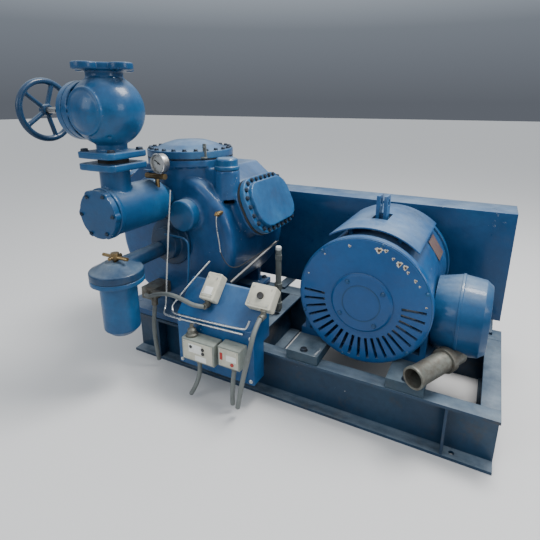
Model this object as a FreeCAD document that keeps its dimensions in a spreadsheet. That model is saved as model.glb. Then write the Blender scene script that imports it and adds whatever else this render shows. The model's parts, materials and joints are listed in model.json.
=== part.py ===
"""Skid-mounted, belt-driven reciprocating compressor unit.

The frame has +X along the skid towards the motor end, +Y towards the belt guard and +Z up.
Its origin is the centre of the skid's foundation bolt pattern, on the skid's underside.
All sizes are millimetres and live in the Sizes sheet; every formula names them.
"""
import FreeCAD, Part
import math
import os
import re
import Sketcher

Vector = FreeCAD.Vector
Rotation = FreeCAD.Rotation

SIZES = {
    # skid
    "skid_length": 1525, "skid_width": 600, "beam_height": 203, "front_flange": 57,
    "rear_flange": 86, "beam_web": 8, "beam_flange": 11, "member_flange": 60,
    "foundation_x": 640, "foundation_y": 274, "foundation_hole": 9,
    "stiffener_x": 608, "stiffener_wall": 10, "skid_gap": 0.5,
    # motor slide rails
    "rail_width": 125, "rail_height": 38, "rail_offset": 187, "rail_inset": 3,
    "slot_width": 18, "slot_length": 90, "bolt_radius": 8, "bolt_clearance": 0.6,
    "bolt_head_radius": 13, "bolt_head_height": 10,
    # motor
    "motor_x": 284, "motor_z": 450, "motor_front": -165, "motor_length": 450,
    "motor_radius": 233, "motor_wall": 26, "bell_radius": 243, "bell_depth": 35,
    "foot_inner": 122, "foot_outer": 246, "foot_height": 30, "foot_y": 195,
    "bearing_radius": 62, "bearing_width": 30, "shaft_radius": 35, "running_gap": 0.05,
    "rotor_radius": 130, "air_gap": 2, "core_length": 250, "fan_radius": 190,
    "vent_count": 21, "vent_width": 11, "vent_inner": 140, "vent_outer": 222,
    "cap_radius": 112, "cap_depth": 12, "drip_radius": 262, "drip_wall": 5, "drip_length": 415, "lug_height": 122,
    # terminal box and its conduit nipple
    "terminal_y": -10, "terminal_z": 392, "terminal_radius": 130, "terminal_seam": 149,
    "terminal_base": 78, "terminal_cover": 102, "nipple_radius": 36, "nipple_wall": 4,
    "nipple_length": 250,
    # crankcase
    "crank_x": -577.5, "crank_z": 550, "case_front": -200, "case_length": 485,
    "case_radius": 312, "case_wall": 26, "case_edge": 35, "case_foot": 235,
    "case_foot_height": 32, "front_cover_radius": 105, "main_bearing_radius": 60, "pump_depth": 58,
    "journal_radius": 35, "seat_gap": 0.3,
    # cylinder banks, measured out from the crank axis
    "bank_angle": 25, "right_bank_y": 50, "left_bank_y": 20, "cylinder_pitch": 150,
    "bore_radius": 57, "liner_wall": 8, "liner_start": 200, "deck_height": 365,
    "neck_width": 224, "neck_length": 345, "neck_corner": 95, "neck_start": 215,
    "head_width": 250, "head_length": 375, "head_corner": 100, "deck_flange": 16,
    "plate_thickness": 10, "head_flange": 25, "head_dome": 22, "head_margin": 26,
    "head_bolts": 26, "head_bolt_inset": 13, "small_bolt": 6, "small_head": 9,
    "small_head_height": 9,
    # running gear
    "crank_throw": 57, "pin_radius": 32, "big_end_radius": 45, "big_end_width": 26,
    "web_radius": 92, "web_thickness": 18, "pin_length": 90, "wrist_height": 230,
    "wrist_radius": 15, "crown_height": 55, "skirt_depth": 45, "piston_gap": 0.08,
    "piston_wall": 9, "rod_stub": 55, "rod_width": 34,
    # top cover
    "cover_x": -570, "cover_y": -45, "cover_radius": 188, "cover_flange": 33,
    "cover_base": 879, "cover_dome": 38, "cover_bolts": 24, "cover_neck": 168,
    "cover_bore": 138, "cover_bolt_circle": 174, "gasket_wall": 2,
    "shoulder_inner": 195, "shoulder_outer": 285, "shoulder_top": 322, "shoulder_low": 250,
    # round side cover, filler cap and sight fittings on the case
    "side_cover_x": 105, "side_cover_z": 138, "side_cover_radius": 66, "side_cover_depth": 45,
    "filler_x": -335, "filler_y": -110, "filler_base": 800,
    "filler_radius": 46, "filler_top": 920,
    # suction strainer and its tee
    "strainer_x": -597.5, "strainer_z": 748, "strainer_radius": 90, "strainer_front": -535,
    "strainer_wall": 14, "strainer_back": -270, "basket_radius": 58, "strainer_neck": 58, "strainer_lid": 25, "tee_y": -460, "tee_radius": 54, "pipe_bore": 38,
    "flange_side": 180, "flange_corner": 26, "tee_flange_top": 928, "flange_thickness": 24,
    "flange_gap": 18, "flange_bolt_circle": 94,
    # stop valve
    "valve_z": 1108, "valve_radius": 126, "valve_top": 1265, "valve_neck": 62,
    "top_flange_radius": 76, "ear_radius": 42, "ear_circle": 80, "ear_hole": 9, "socket_radius": 44, "socket_depth": 40,
    "bonnet_reach": 114, "bonnet_radius": 105, "bonnet_flange": 28, "bonnet_neck": 88,
    "bonnet_depth": 62, "stem_radius": 12, "stem_end": 352, "wheel_radius": 120,
    "wheel_rim": 12, "wheel_reach": 340, "disc_radius": 40, "gland_radius": 24,
    "stem_travel": 36,
    # oil filter
    "filter_x": -600, "filter_y": -500, "filter_radius": 71, "filter_bottom": 252,
    "filter_joint": 490, "filter_top": 551, "filter_flange": 103, "filter_wall": 8,
    "spindle_radius": 7, "filter_arm": 33,
    # gauge and its valves
    "gauge_x": -520, "gauge_y": -300, "gauge_z": 908, "gauge_radius": 38, "gauge_depth": 32,
    # console and switch boxes
    "console_left": -418, "console_width": 358, "console_front": -380, "console_bottom": 95,
    "console_fold": 320, "console_rise": 117, "console_run": 110, "console_wall": 4,
    "console_back": -302, "slope_angle": 46.8,
    # guard and belt drive
    "guard_front": 370, "guard_depth": 170, "guard_left": -837, "guard_length": 1592,
    "guard_bottom": 215, "guard_top": 700, "guard_wall": 3, "guard_hole": 75,
    "flywheel_radius": 140, "pulley_ratio": 1.5, "groove_depth": 14, "groove_width": 19,
    "belt_width": 17, "belt_height": 13, "belt_gap": 0.3, "belt_pitch": 27, "belt_count": 4,
    "pulley_start": 394, "pulley_width": 118,
    # flexible conduit
    "conduit_radius": 9, "tube_radius": 4,
}

doc = FreeCAD.newDocument("compressor_unit")
sheet = doc.addObject("Spreadsheet::Sheet", "Sizes")
for row, (alias, size) in enumerate(SIZES.items(), 1):
    sheet.set(f"A{row}", alias.replace("_", " "))
    sheet.set(f"B{row}", str(size))
    sheet.setAlias(f"B{row}", alias)
doc.recompute()

ORIGIN = ("0", "0", "0")
UP = Rotation()
TO_BACK = Rotation(Vector(1, 0, 0), -90)
TO_FRONT = Rotation(Vector(1, 0, 0), 90)
TO_RIGHT = Rotation(Vector(0, 1, 0), 90)
TO_LEFT = Rotation(Vector(0, 1, 0), -90)
TO_CORNERS = Rotation(Vector(0, 0, 1), 45)

SUBPARTS = []
KEPT = {}
SHARED = {}


# ---------------------------------------------------------------- building helpers

def formula(text):
    """Names the sheet in front of every size in a formula."""
    return re.sub(r"[a-z][a-z0-9_]*", lambda word: "Sizes." + word.group()
                  if word.group() in SIZES else word.group(), text)


def value(text):
    """The number that a formula of sizes comes to."""
    return float(sheet.evalExpression(formula(text)))


def bind(item, prop, text):
    item.setExpression(prop, formula(text))


def place(item, at=ORIGIN, turn=UP):
    """Puts a piece where three formulas say, turned by a fixed rotation."""
    item.Placement = FreeCAD.Placement(Vector(), turn)
    for axis, text in zip("xyz", at):
        if text != "0":
            bind(item, "Placement.Base." + axis, text)
    return item


def keep(item, label):
    """Makes a finished piece a sub-part with its own name."""
    item.Label = label
    SUBPARTS.append(item)
    KEPT[label] = item
    return item


def share(label, item):
    """Adds a piece to a sub-part that several like pieces share."""
    SHARED.setdefault(label, []).append(item)


def block(size, at, centre=""):
    """A box from its low corner, or centred along the axes named in centre."""
    item = doc.addObject("Part::Box", "block")
    for prop, text in zip(("Length", "Width", "Height"), size):
        bind(item, prop, text)
    corner = [f"({place_text}) - ({text}) / 2" if axis in centre else place_text
              for axis, place_text, text in zip("xyz", at, size)]
    return place(item, corner)


def rod(radius, length, at=ORIGIN, turn=UP):
    item = doc.addObject("Part::Cylinder", "rod")
    bind(item, "Radius", radius)
    bind(item, "Height", length)
    return place(item, at, turn)


def ball(radius, at=ORIGIN):
    item = doc.addObject("Part::Sphere", "ball")
    bind(item, "Radius", radius)
    return place(item, at)


def ring(major, minor, at=ORIGIN, turn=UP):
    item = doc.addObject("Part::Torus", "ring")
    bind(item, "Radius1", major)
    bind(item, "Radius2", minor)
    return place(item, at, turn)


def cut(base, *tools):
    """Takes the tools away from the base."""
    item = doc.addObject("Part::Cut", "cut")
    item.Base = base
    item.Tool = tools[0] if len(tools) == 1 else group(*tools)
    return item


def fuse(*pieces):
    item = doc.addObject("Part::MultiFuse", "fuse")
    item.Shapes = list(pieces)
    item.Refine = True
    return item


def group(*pieces):
    item = doc.addObject("Part::Compound", "group")
    item.Links = list(pieces)
    return item


def tube(outer, inner, length, at=ORIGIN, turn=UP):
    return place(cut(rod(outer, length), rod(inner, length)), at, turn)


def outline(body, plane, points):
    """A closed outline whose corners are pairs of formulas, drawn on one of the body's planes."""
    sketch = body.newObject("Sketcher::SketchObject", "outline")
    face = [item for item in body.Origin.OriginFeatures if item.Role == plane][0]
    sketch.AttachmentSupport = [(face, "")]
    sketch.MapMode = "FlatFace"
    corners = [(value(a), value(b)) for a, b in points]
    count = len(corners)
    for index in range(count):
        start = corners[index]
        end = corners[(index + 1) % count]
        sketch.addGeometry(Part.LineSegment(Vector(start[0], start[1], 0), Vector(end[0], end[1], 0)))
    for index in range(count):
        sketch.addConstraint(Sketcher.Constraint("Coincident", index, 2, (index + 1) % count, 1))
    for index, texts in enumerate(points):
        for kind, text, number in zip(("DistanceX", "DistanceY"), texts, corners[index]):
            row = sketch.addConstraint(Sketcher.Constraint(kind, -1, 1, index, 1, number))
            sketch.setExpression(f"Constraints[{row}]", formula(text))
    return sketch


def lathe(points, at=ORIGIN, turn=UP):
    """Turns (radius, height) corners about the piece's own Z axis."""
    body = doc.addObject("PartDesign::Body", "turned")
    sketch = outline(body, "XZ_Plane", points)
    turned = body.newObject("PartDesign::Revolution", "turning")
    turned.Profile = sketch
    turned.ReferenceAxis = (sketch, ["V_Axis"])
    turned.Angle = 360
    body.Tip = turned
    return place(body, at, turn)


def sector(points, start, sweep, at=ORIGIN, turn=UP):
    """Turns corners part of the way round, from the start angle, in degrees."""
    body = doc.addObject("PartDesign::Body", "sector")
    sketch = outline(body, "XZ_Plane", points)
    turned = body.newObject("PartDesign::Revolution", "turning")
    turned.Profile = sketch
    turned.ReferenceAxis = (sketch, ["V_Axis"])
    turned.Angle = sweep
    body.Tip = turned
    return place(body, at, turn * Rotation(Vector(0, 0, 1), start))


def extrude(plane, points, length, at=ORIGIN, turn=UP):
    """Pads corners along the positive axis that is normal to the plane."""
    body = doc.addObject("PartDesign::Body", "extruded")
    sketch = outline(body, plane, points)
    pad = body.newObject("PartDesign::Pad", "pad")
    pad.Profile = sketch
    bind(pad, "Length", length)
    pad.Reversed = plane == "XZ_Plane"
    body.Tip = pad
    return place(body, at, turn)


def rounded_block(width, length, corner, height, at=ORIGIN, turn=UP):
    """A block centred on its own Z axis, with its four upright edges rounded."""
    body = doc.addObject("PartDesign::Body", "rounded")
    half_x = f"({width}) / 2"
    half_y = f"({length}) / 2"
    corners = [(f"-{half_x}", f"-{half_y}"), (half_x, f"-{half_y}"), (half_x, half_y),
               (f"-{half_x}", half_y)]
    pad = body.newObject("PartDesign::Pad", "pad")
    pad.Profile = outline(body, "XY_Plane", corners)
    bind(pad, "Length", height)
    doc.recompute()
    upright = [f"Edge{index}" for index, edge in enumerate(pad.Shape.Edges, 1)
               if abs(edge.tangentAt(edge.FirstParameter).z) > 0.5]
    fillet = body.newObject("PartDesign::Fillet", "fillet")
    fillet.Base = (pad, upright)
    bind(fillet, "Radius", corner)
    body.Tip = fillet
    return place(body, at, turn)


def circle_of(points, circle, count, at=ORIGIN, turn=UP):
    """Small turned pieces, evenly spaced on a circle about the Z axis."""
    body = doc.addObject("PartDesign::Body", "circle")
    body.AllowCompound = True
    sketch = outline(body, "XZ_Plane", [(f"{circle} + {radius}", height) for radius, height in points])
    middle = value(circle)
    axis = sketch.addGeometry(Part.LineSegment(Vector(middle, 0, 0), Vector(middle, 10, 0)), True)
    sketch.addConstraint(Sketcher.Constraint("Vertical", axis))
    row = sketch.addConstraint(Sketcher.Constraint("DistanceX", -1, 1, axis, 1, middle))
    sketch.setExpression(f"Constraints[{row}]", formula(circle))
    turned = body.newObject("PartDesign::Revolution", "turning")
    turned.Profile = sketch
    turned.ReferenceAxis = (sketch, ["Axis0"])
    turned.Angle = 360
    doc.recompute()
    pattern = body.newObject("PartDesign::PolarPattern", "pattern")
    pattern.Originals = [turned]
    pattern.Axis = (sketch, ["V_Axis"])
    pattern.Angle = 360
    bind(pattern, "Occurrences", count)
    body.Tip = pattern
    return place(body, at, turn)


def bolt_outline(shank, grip, head, height):
    """Half of a bolt: its head stands on height zero and its shank hangs below."""
    return [("0", f"-({grip})"), (shank, f"-({grip})"), (shank, "0"), (head, "0"),
            (head, height), ("0", height)]


def bolt_circle(circle, count, grip, at, turn):
    return circle_of(bolt_outline("small_bolt", grip, "small_head", "small_head_height"),
                     circle, count, at, turn)


def hole_circle(circle, count, depth, at, turn):
    """Clearance holes for a bolt circle, from above its seat down to depth."""
    hole = "small_bolt + bolt_clearance"
    corners = [("0", f"-({depth})"), (hole, f"-({depth})"), (hole, "20"), ("0", "20")]
    return circle_of(corners, circle, count, at, turn)


def through_bolt(grip, at, turn=UP):
    """One large bolt: its head stands on the point given and its shank runs through the grip."""
    return lathe(bolt_outline("bolt_radius", grip, "bolt_head_radius", "bolt_head_height"), at, turn)


def cord_path(points):
    """Straight runs joined by tangent arcs, each as large as its two runs allow."""
    corners = [Vector(*point) for point in points]
    edges = []
    radii = []
    start = corners[0]
    for before, corner, after in zip(corners, corners[1:], corners[2:]):
        back = before - corner
        ahead = after - corner
        half_turn = (math.pi - back.getAngle(ahead)) / 2
        reach = 0.45 * min(back.Length, ahead.Length)
        arc_radius = reach / math.tan(half_turn)
        radii.append(round(arc_radius))
        first = corner + back.normalize() * reach
        last = corner + ahead.normalize() * reach
        inward = (back + ahead).normalize()
        middle = corner + inward * (arc_radius / math.cos(half_turn) - arc_radius)
        edges.append(Part.LineSegment(start, first).toShape())
        edges.append(Part.Arc(first, middle, last).toShape())
        start = last
    edges.append(Part.LineSegment(start, corners[-1]).toShape())
    return Part.Wire(edges), radii


def cord_shape(points, radius):
    """A round cord along its path, checked against its section times its length."""
    path, radii = cord_path(points)
    first = Vector(*points[0])
    aim = Vector(*points[1]) - first
    section = Part.Wire([Part.makeCircle(radius, first, aim)])
    shape = path.makePipeShell([section], True, True)
    wanted = math.pi * radius ** 2 * path.Length
    if abs(shape.Volume / wanted - 1) > 0.01:
        raise RuntimeError("a cord's volume is not its section times its length")
    return shape, path.Length, radii


def cord(label, points, radius_name):
    item = doc.addObject("Part::Feature", label)
    item.Shape, length, radii = cord_shape(points, value(radius_name))
    item.Placement = FreeCAD.Placement()
    print(label, "length", round(length), "radii", radii)
    return keep(item, label)


# ---------------------------------------------------------------- skid

def channel(depth, height, length, opens_up_axis, at):
    """A rolled channel along X: the web stands at local y = 0 or at y = depth."""
    far, near = ("0", depth) if opens_up_axis else (depth, "0")
    web = f"{near} - beam_web" if opens_up_axis else "beam_web"
    points = [(near, "0"), (far, "0"), (far, "beam_flange"), (web, "beam_flange"),
              (web, f"{height} - beam_flange"), (far, f"{height} - beam_flange"), (far, height),
              (near, height)]
    return extrude("YZ_Plane", points, length, at)


def member(x, opens_right):
    """A cross member between the two beams, with its web at one side."""
    near, far = ("0", "member_flange") if opens_right else ("member_flange", "0")
    web = "beam_web" if opens_right else "member_flange - beam_web"
    points = [(near, "0"), (far, "0"), (far, "beam_flange"), (web, "beam_flange"),
              (web, "beam_height - beam_flange"), (far, "beam_height - beam_flange"),
              (far, "beam_height"), (near, "beam_height")]
    length = "skid_width - front_flange - rear_flange"
    return extrude("XZ_Plane", points, length, (x, "front_flange - skid_width / 2", "0"))


FOUNDATION = [(f"{a}foundation_x", f"{b}foundation_y") for a in ("", "-") for b in ("", "-")]
RAIL_ENDS = ("-foundation_y", "foundation_y")
RAIL_CENTRES = ("motor_x - rail_offset", "motor_x + rail_offset")
FOOT_BOLTS = ("-100", "200")
CASE_BOLTS = [(f"crank_x {side} (case_foot - 30)", y) for side in "+-" for y in RAIL_ENDS]


def beam_holes():
    """Foundation holes in the lower flanges, and rail and compressor bolts in the upper ones."""
    low = [rod("foundation_hole", "beam_flange + 4", (x, y, "-2")) for x, y in FOUNDATION]
    rails = [(x, y) for x in RAIL_CENTRES for y in RAIL_ENDS]
    high = [rod("bolt_radius + bolt_clearance", "beam_flange + 4", (x, y, "beam_height - beam_flange - 2"))
            for x, y in rails + CASE_BOLTS]
    return group(*low, *high)


def skid():
    front = channel("front_flange", "beam_height", "skid_length", True,
                    ("-skid_length / 2", "-skid_width / 2", "0"))
    rear = channel("rear_flange", "beam_height", "skid_length", False,
                   ("-skid_length / 2", "skid_width / 2 - rear_flange", "0"))
    keep(cut(front, beam_holes()), "front_beam")
    keep(cut(rear, beam_holes()), "rear_beam")
    share("cross_members", member("-skid_length / 2", True))
    share("cross_members", member("skid_length / 2 - member_flange", False))
    share("cross_members", member("-skid_length / 8", True))
    ribs = []
    height = "beam_height - 2 * beam_flange"
    for side in ("", "-"):
        ribs.append(block(("stiffener_wall", "front_flange - beam_web", height),
                          (f"{side}stiffener_x", "-skid_width / 2", "beam_flange"), "x"))
        ribs.append(block(("stiffener_wall", "rear_flange - beam_web", height),
                          (f"{side}stiffener_x", "skid_width / 2 - rear_flange + beam_web",
                           "beam_flange"), "x"))
    share("cross_members", group(*ribs))


def rails():
    top = "beam_height + rail_height"
    bars = []
    for x in RAIL_CENTRES:
        bar = block(("rail_width", "skid_width - 2 * rail_inset", "rail_height"),
                    (x, "0", "beam_height"), "xy")
        slots = [block(("slot_width", "slot_length", "rail_height + 4"), (x, y, "beam_height - 2"), "xy")
                 for y in FOOT_BOLTS]
        holes = [rod("bolt_radius + bolt_clearance", "rail_height + 4", (x, y, "beam_height - 2"))
                 for y in RAIL_ENDS]
        bars.append(cut(bar, *slots, *holes))
    keep(group(*bars), "motor_rails")
    ends = [(x, y) for x in RAIL_CENTRES for y in RAIL_ENDS]
    share("bolts", group(*[through_bolt("rail_height + beam_flange", (x, y, top)) for x, y in ends]))
    feet = [(x, y) for x in RAIL_CENTRES for y in FOOT_BOLTS]
    share("bolts", group(*[through_bolt("foot_height + rail_height", (x, y, f"{top} + foot_height"))
                           for x, y in feet]))


# ---------------------------------------------------------------- motor

MOTOR_AXIS = ("motor_x", "motor_front", "motor_z")


def on_motor(offset):
    """A point on the motor's axis, so far behind the front end of its frame."""
    return ("motor_x", f"motor_front + {offset}", "motor_z")


def motor_frame():
    shell = rod("motor_radius", "motor_length", MOTOR_AXIS, TO_BACK)
    rail_top = "beam_height + rail_height"
    feet = []
    for side in "-+":
        centre = f"motor_x {side} (foot_inner + foot_outer) / 2"
        for y in FOOT_BOLTS:
            feet.append(block(("foot_outer - foot_inner", "120", "foot_height"),
                              (centre, y, rail_top), "xy"))
            feet.append(block(("20", "120", "motor_z - beam_height - rail_height"),
                              (f"motor_x {side} (motor_radius - 14)", y, rail_top), "xy"))
    bore = rod("motor_radius - motor_wall", "motor_length + 4", on_motor("-2"), TO_BACK)
    holes = [rod("bolt_radius + bolt_clearance", "foot_height + 4", (x, y, f"{rail_top} - 2"))
             for x in RAIL_CENTRES for y in FOOT_BOLTS]
    cable = rod("30", "80", ("motor_x + motor_radius - 50", "terminal_y", "terminal_z"), TO_RIGHT)
    keep(cut(fuse(shell, *feet), bore, cable, *holes), "motor_frame")
    lugs = [block(("12", "60", "lug_height"), (f"motor_x {side} 14", "30", "motor_z + motor_radius - 6"), "xy")
            for side in "-+"]
    eyes = rod("12", "80", ("motor_x - 40", "30", "motor_z + motor_radius + lug_height - 36"), TO_RIGHT)
    notch = rod("motor_radius", "120", ("motor_x", "-30", "motor_z"), TO_BACK)
    share("drip_cover", cut(group(*lugs), eyes, notch))


def bell(deep, open_shaft):
    """An end bell: height zero is where its bearing hub ends, inside the frame."""
    hub = "20"
    face = f"({hub} + {deep})"
    if open_shaft:
        centre = [("shaft_radius + 4", f"{face} - 12"), ("shaft_radius + 4", face)]
    else:
        centre = [("0", f"{face} - 12"), ("0", f"{face} + cap_depth"),
                  ("cap_radius - 8", f"{face} + cap_depth"), ("cap_radius", f"{face} + cap_depth - 6"),
                  ("cap_radius", face)]
    pocket = f"{hub} + {deep} - 12"
    return [("bearing_radius", "0"), ("bearing_radius", pocket)] + centre + [
        ("bell_radius - 8", face), ("bell_radius", f"{face} - 8"), ("bell_radius", hub),
        ("motor_radius - motor_wall", hub), ("motor_radius - motor_wall", f"{face} - 12"),
        ("bearing_radius + 14", f"{face} - 12"), ("bearing_radius + 14", "0")]


def vents():
    """Radial air slots, evenly spread over the lower half of the front bell."""
    body = doc.addObject("PartDesign::Body", "vents")
    body.AllowCompound = True
    corners = [("vent_inner", "10"), ("vent_outer", "10"), ("vent_outer", "90"), ("vent_inner", "90")]
    sketch = outline(body, "XZ_Plane", corners)
    pad = body.newObject("PartDesign::Pad", "slot")
    pad.Profile = sketch
    bind(pad, "Length", "vent_width")
    pad.Midplane = True
    doc.recompute()
    pattern = body.newObject("PartDesign::PolarPattern", "slots")
    pattern.Originals = [pad]
    pattern.Axis = (sketch, ["V_Axis"])
    pattern.Angle = 184
    bind(pattern, "Occurrences", "vent_count")
    body.Tip = pattern
    return place(body, on_motor("20"), TO_FRONT * Rotation(Vector(0, 0, 1), 178))


def motor():
    motor_frame()
    front = lathe(bell("bell_depth", False), on_motor("20"), TO_FRONT)
    rear = lathe(bell("bell_depth", True), on_motor("motor_length - 20"), TO_BACK)
    keep(cut(front, vents()), "front_bell")
    keep(rear, "rear_bell")
    inner = "shaft_radius + running_gap"
    bearings = [tube("bearing_radius", inner, "bearing_width", on_motor("-10"), TO_BACK),
                tube("bearing_radius", inner, "bearing_width", on_motor("motor_length - 20"), TO_BACK)]
    share("bearings", group(*bearings))
    core = on_motor("(motor_length - core_length) / 2")
    keep(tube("motor_radius - motor_wall", "rotor_radius + air_gap", "core_length", core, TO_BACK),
         "stator")
    share("rotor", tube("rotor_radius", "shaft_radius", "core_length", core, TO_BACK))
    shaft_end = "pulley_start + pulley_width - motor_front - 4"
    share("rotor", rod("shaft_radius", f"{shaft_end} + 8", on_motor("-8"), TO_BACK))
    fan = lathe([("shaft_radius", "0"), ("shaft_radius + 14", "0"), ("shaft_radius + 14", "8"),
                 ("fan_radius", "8"), ("fan_radius", "12"), ("shaft_radius", "12")],
                on_motor("50"), TO_BACK)
    blades = []
    for index in range(8):
        blade = extrude("XZ_Plane", [("80", "12"), ("fan_radius - 6", "12"), ("fan_radius - 6", "34"),
                                     ("80", "34")], "3", on_motor("50"),
                        TO_BACK * Rotation(Vector(0, 0, 1), 45 * index))
        blades.append(blade)
    share("rotor", fuse(fan, *blades))
    cover = [("drip_radius", "0"), ("drip_radius + drip_wall", "0"),
             ("drip_radius + drip_wall", "drip_length"), ("drip_radius", "drip_length")]
    stays = [sector([("motor_radius", "0"), ("drip_radius", "0"), ("drip_radius", "12"),
                     ("motor_radius", "12")], -112, 4, on_motor(f"{y}"), TO_BACK) for y in (60, 330)]
    stays += [sector([("motor_radius", "0"), ("drip_radius", "0"), ("drip_radius", "12"),
                      ("motor_radius", "12")], -68, 4, on_motor(f"{y}"), TO_BACK) for y in (60, 330)]
    shell = sector(cover, -124, 75, on_motor("10"), TO_BACK)
    slot = block(("60", "100", "60"), ("motor_x", "30", "motor_z + motor_radius"), "xy")
    share("drip_cover", cut(fuse(shell, *stays), slot))


def terminal_box():
    side = ("motor_x + motor_radius + skid_gap", "terminal_y", "terminal_z")
    wall = "5"
    base = lathe([("60", "0"), ("terminal_radius", "0"), ("terminal_seam", "terminal_base"),
                  (f"terminal_seam - {wall}", "terminal_base"), (f"terminal_radius - {wall}", wall),
                  ("60", wall)], side, TO_RIGHT)
    neck = tube("60", "32", "40", ("motor_x + motor_radius - 20", "terminal_y", "terminal_z"), TO_RIGHT)
    drum = rod("motor_radius", "200", ("motor_x", "terminal_y - 100", "motor_z"), TO_BACK)
    hole = rod("nipple_radius - nipple_wall", "120", ("motor_x + 301", "terminal_y - 30",
                                                     "terminal_z - terminal_radius - 60"))
    keep(cut(fuse(base, neck), drum, hole, KEPT["motor_frame"]), "terminal_box")
    cover_at = ("motor_x + motor_radius + skid_gap + terminal_base", "terminal_y", "terminal_z")
    reach = "terminal_cover"
    keep(lathe([("terminal_seam", "0"), ("terminal_seam + 3", "0"), ("terminal_seam + 3", "10"),
                ("terminal_seam", "10"), ("terminal_seam - 8", f"{reach} - 22"),
                ("terminal_seam - 26", reach), ("0", reach), ("0", f"{reach} - {wall}"),
                ("terminal_seam - 30", f"{reach} - {wall}"), ("terminal_seam - 14", f"{reach} - 24"),
                (f"terminal_seam - {wall}", "8"), (f"terminal_seam - {wall}", "0")],
               cover_at, TO_RIGHT), "terminal_cover")
    start = ("motor_x + 329", "terminal_y - 87", "terminal_z - terminal_radius + 21")
    lean = Rotation(Vector(0, 0, 1), -27.4) * TO_FRONT
    bore = "nipple_radius - nipple_wall"
    pipe = tube("nipple_radius", bore, "nipple_length", start, lean)
    nut = place(raised(tube("nipple_radius + 8", bore, "26"), "60"), start, lean)
    lip = place(raised(tube("nipple_radius + 3", bore, "10"), "nipple_length - 10"), start, lean)
    bend = rod("nipple_radius - 1", "60", start)
    share("conduit_fittings", cut(fuse(pipe, nut, lip, cut(bend, rod(bore, "64", start))),
                                  *[KEPT[name] for name in ("terminal_box", "terminal_cover",
                                                            "motor_frame")]))


# ---------------------------------------------------------------- crankcase

CRANK_AXIS = ("crank_x", "0", "crank_z")
BANKS = (("right", "right_bank_y", 1), ("left", "left_bank_y", -1))


def bank_turn(side):
    """Turns a piece's Z axis from straight up to square with one bank's deck."""
    return Rotation(Vector(0, 1, 0), side * (90 - value("bank_angle")))


def bank_point(middle):
    return ("crank_x", middle, "crank_z")


def bank_piece(item, middle, side, shift="0"):
    """Places a piece that is drawn about a bank's own axis."""
    return place(item, ("crank_x", f"{middle} + {shift}", "crank_z"), bank_turn(side))


def raised(item, height):
    """The same piece, drawn so far out along its own axis."""
    holder = doc.addObject("Part::Compound", "raised")
    place(item, ("0", "0", height))
    holder.Links = [item]
    return holder


def head_points(count):
    """Bolt centres, evenly spaced round the head's outline."""
    inset = value("head_bolt_inset")
    half_x = value("head_width") / 2 - inset
    half_y = value("head_length") / 2 - inset
    corner = value("head_corner") - inset
    wires = Part.makePlane(2 * half_x, 2 * half_y, Vector(-half_x, -half_y, 0))
    block_shape = wires.extrude(Vector(0, 0, 1))
    upright = [edge for edge in block_shape.Edges if edge.BoundBox.ZLength > 0.5]
    smooth = block_shape.makeFillet(corner, upright)
    base = min(smooth.Faces, key=lambda face: face.CenterOfMass.z)
    return base.OuterWire.discretize(count + 1)[:-1]


def head_pegs(label, radius, low, high):
    """One upright peg at each head bolt's centre."""
    item = doc.addObject("Part::Feature", label)
    bottom = value(low)
    pegs = [Part.makeCylinder(value(radius), value(high) - bottom, Vector(point.x, point.y, bottom))
            for point in head_points(int(value("head_bolts")))]
    item.Shape = Part.makeCompound(pegs)
    return item


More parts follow.
